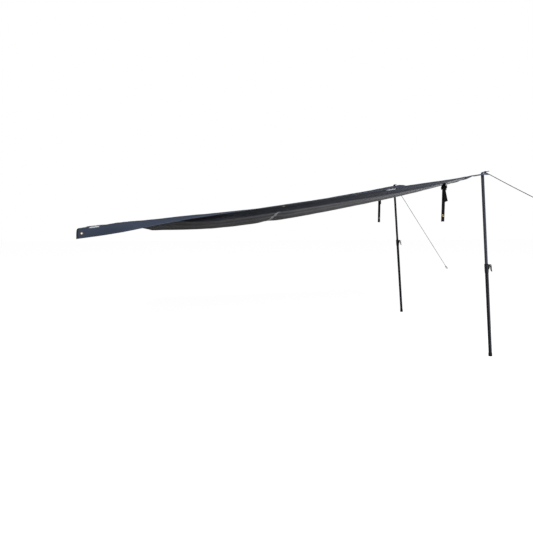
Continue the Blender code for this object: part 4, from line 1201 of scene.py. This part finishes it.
# Each coat: the CAD pieces of a pole that have it, its dark, middle and pale tone, its
# roughness, and how metallic and how glossy it is.
COATS = {
    "slate_tube": (("upper_tube",), (0.023, 0.026, 0.035), (0.030, 0.034, 0.046),
                   (0.044, 0.049, 0.064), 0.46, 0.0, 0.12),
    "black_tube": (("lower_tube",), (0.004, 0.005, 0.007), (0.007, 0.008, 0.011),
                   (0.014, 0.015, 0.019), 0.46, 0.0, 0.08),
    "moulded_nylon": (("top_plug", "guide_plug", "clamp_collar", "clamp_shoe", "cam_lever"),
                      (0.005, 0.006, 0.008), (0.008, 0.009, 0.012), (0.016, 0.017, 0.021),
                      0.52, 0.0, 0.10),
    "foot_rubber": (("foot_cap",), (0.005, 0.005, 0.005), (0.009, 0.009, 0.009),
                    (0.024, 0.023, 0.021), 0.72, 0.0, 0.10),
    "zinc_plate": (("collar_rivet", "lever_pin"), (0.28, 0.29, 0.31), (0.42, 0.43, 0.45),
                   (0.58, 0.59, 0.60), 0.34, 1.0, 0.5),
    "blackened_steel": (("spigot",), (0.020, 0.022, 0.027), (0.036, 0.039, 0.047),
                        (0.075, 0.078, 0.088), 0.40, 1.0, 0.5),
}
coats = {}
for name, (parts, *look) in COATS.items():
    coats[name] = coat_finish(name, *look)
    dress(coats[name], *[f"{side}_{part}" for side in ("near", "far") for part in parts])


# Moulded grips
#
# Each cam lever has five raised bars across its face for the thumb, and each foot has three
# raised rings. They are part of the mouldings and too fine for the solids.

BARS = 5
BAR_R = 0.0007
BAR_LENGTH = 0.0096
BAR_OUT = 0.0067
BAR_TOP = -0.0150
BAR_STEP = 0.0042
RING_R = 0.0007
RING_OUT = 0.0141
RING_HEIGHTS = (0.0150, 0.0185, 0.0220)
POLE_LEAN = radians(4.6)
LEAN = Matrix.Rotation(-POLE_LEAN, 4, "Y")
ALONG_Y = Matrix.Rotation(pi / 2, 4, "X")
LEVER_PIN = {"near": Vector((3.005813, -1.018022, -0.285733)),
             "far": Vector((2.999478, 1.018022, -0.188048))}
POLE_FOOT = {"near": Vector((3.029736, -1.018022, -0.975837)),
             "far": Vector((3.03126, 1.018022, -0.975837))}
for side in ("near", "far"):
    at_pin = Matrix.Translation(LEVER_PIN[side]) @ LEAN
    bm = bmesh.new()
    for k in range(BARS):
        place = Matrix.Translation((BAR_OUT, 0.0, BAR_TOP - BAR_STEP * k)) @ ALONG_Y
        bmesh.ops.create_cone(bm, cap_ends=True, segments=10, radius1=BAR_R, radius2=BAR_R,
                              depth=BAR_LENGTH, matrix=at_pin @ place)
    edges = [e for e in bm.edges if e.is_manifold and e.calc_face_angle(0.0) > 1.2]
    bmesh.ops.bevel(bm, geom=edges, offset=0.0002, affect="EDGES", segments=2, profile=0.5,
                    material=-1)
    grip = piece(bm, f"{side}_lever_bars", coats["moulded_nylon"])
    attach(grip, f"{side}_lever")

    at_foot = Matrix.Translation(POLE_FOOT[side]) @ LEAN
    bm = bmesh.new()
    for height in RING_HEIGHTS:
        ring = bmesh.new()
        bmesh.ops.create_circle(ring, segments=8, radius=RING_R, matrix=ALONG_Y)
        bmesh.ops.translate(ring, vec=(RING_OUT, 0.0, height), verts=ring.verts[:])
        bmesh.ops.spin(ring, geom=ring.verts[:] + ring.edges[:], cent=(0.0, 0.0, 0.0),
                       axis=(0.0, 0.0, 1.0), angle=2 * pi, steps=40, use_merge=True)
        bmesh.ops.recalc_face_normals(ring, faces=ring.faces[:])
        bmesh.ops.transform(ring, matrix=at_foot, verts=ring.verts[:])
        put_in(bm, ring)
    rings = piece(bm, f"{side}_foot_rings", coats["foot_rubber"])
    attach(rings, f"{side}_lower_pole")
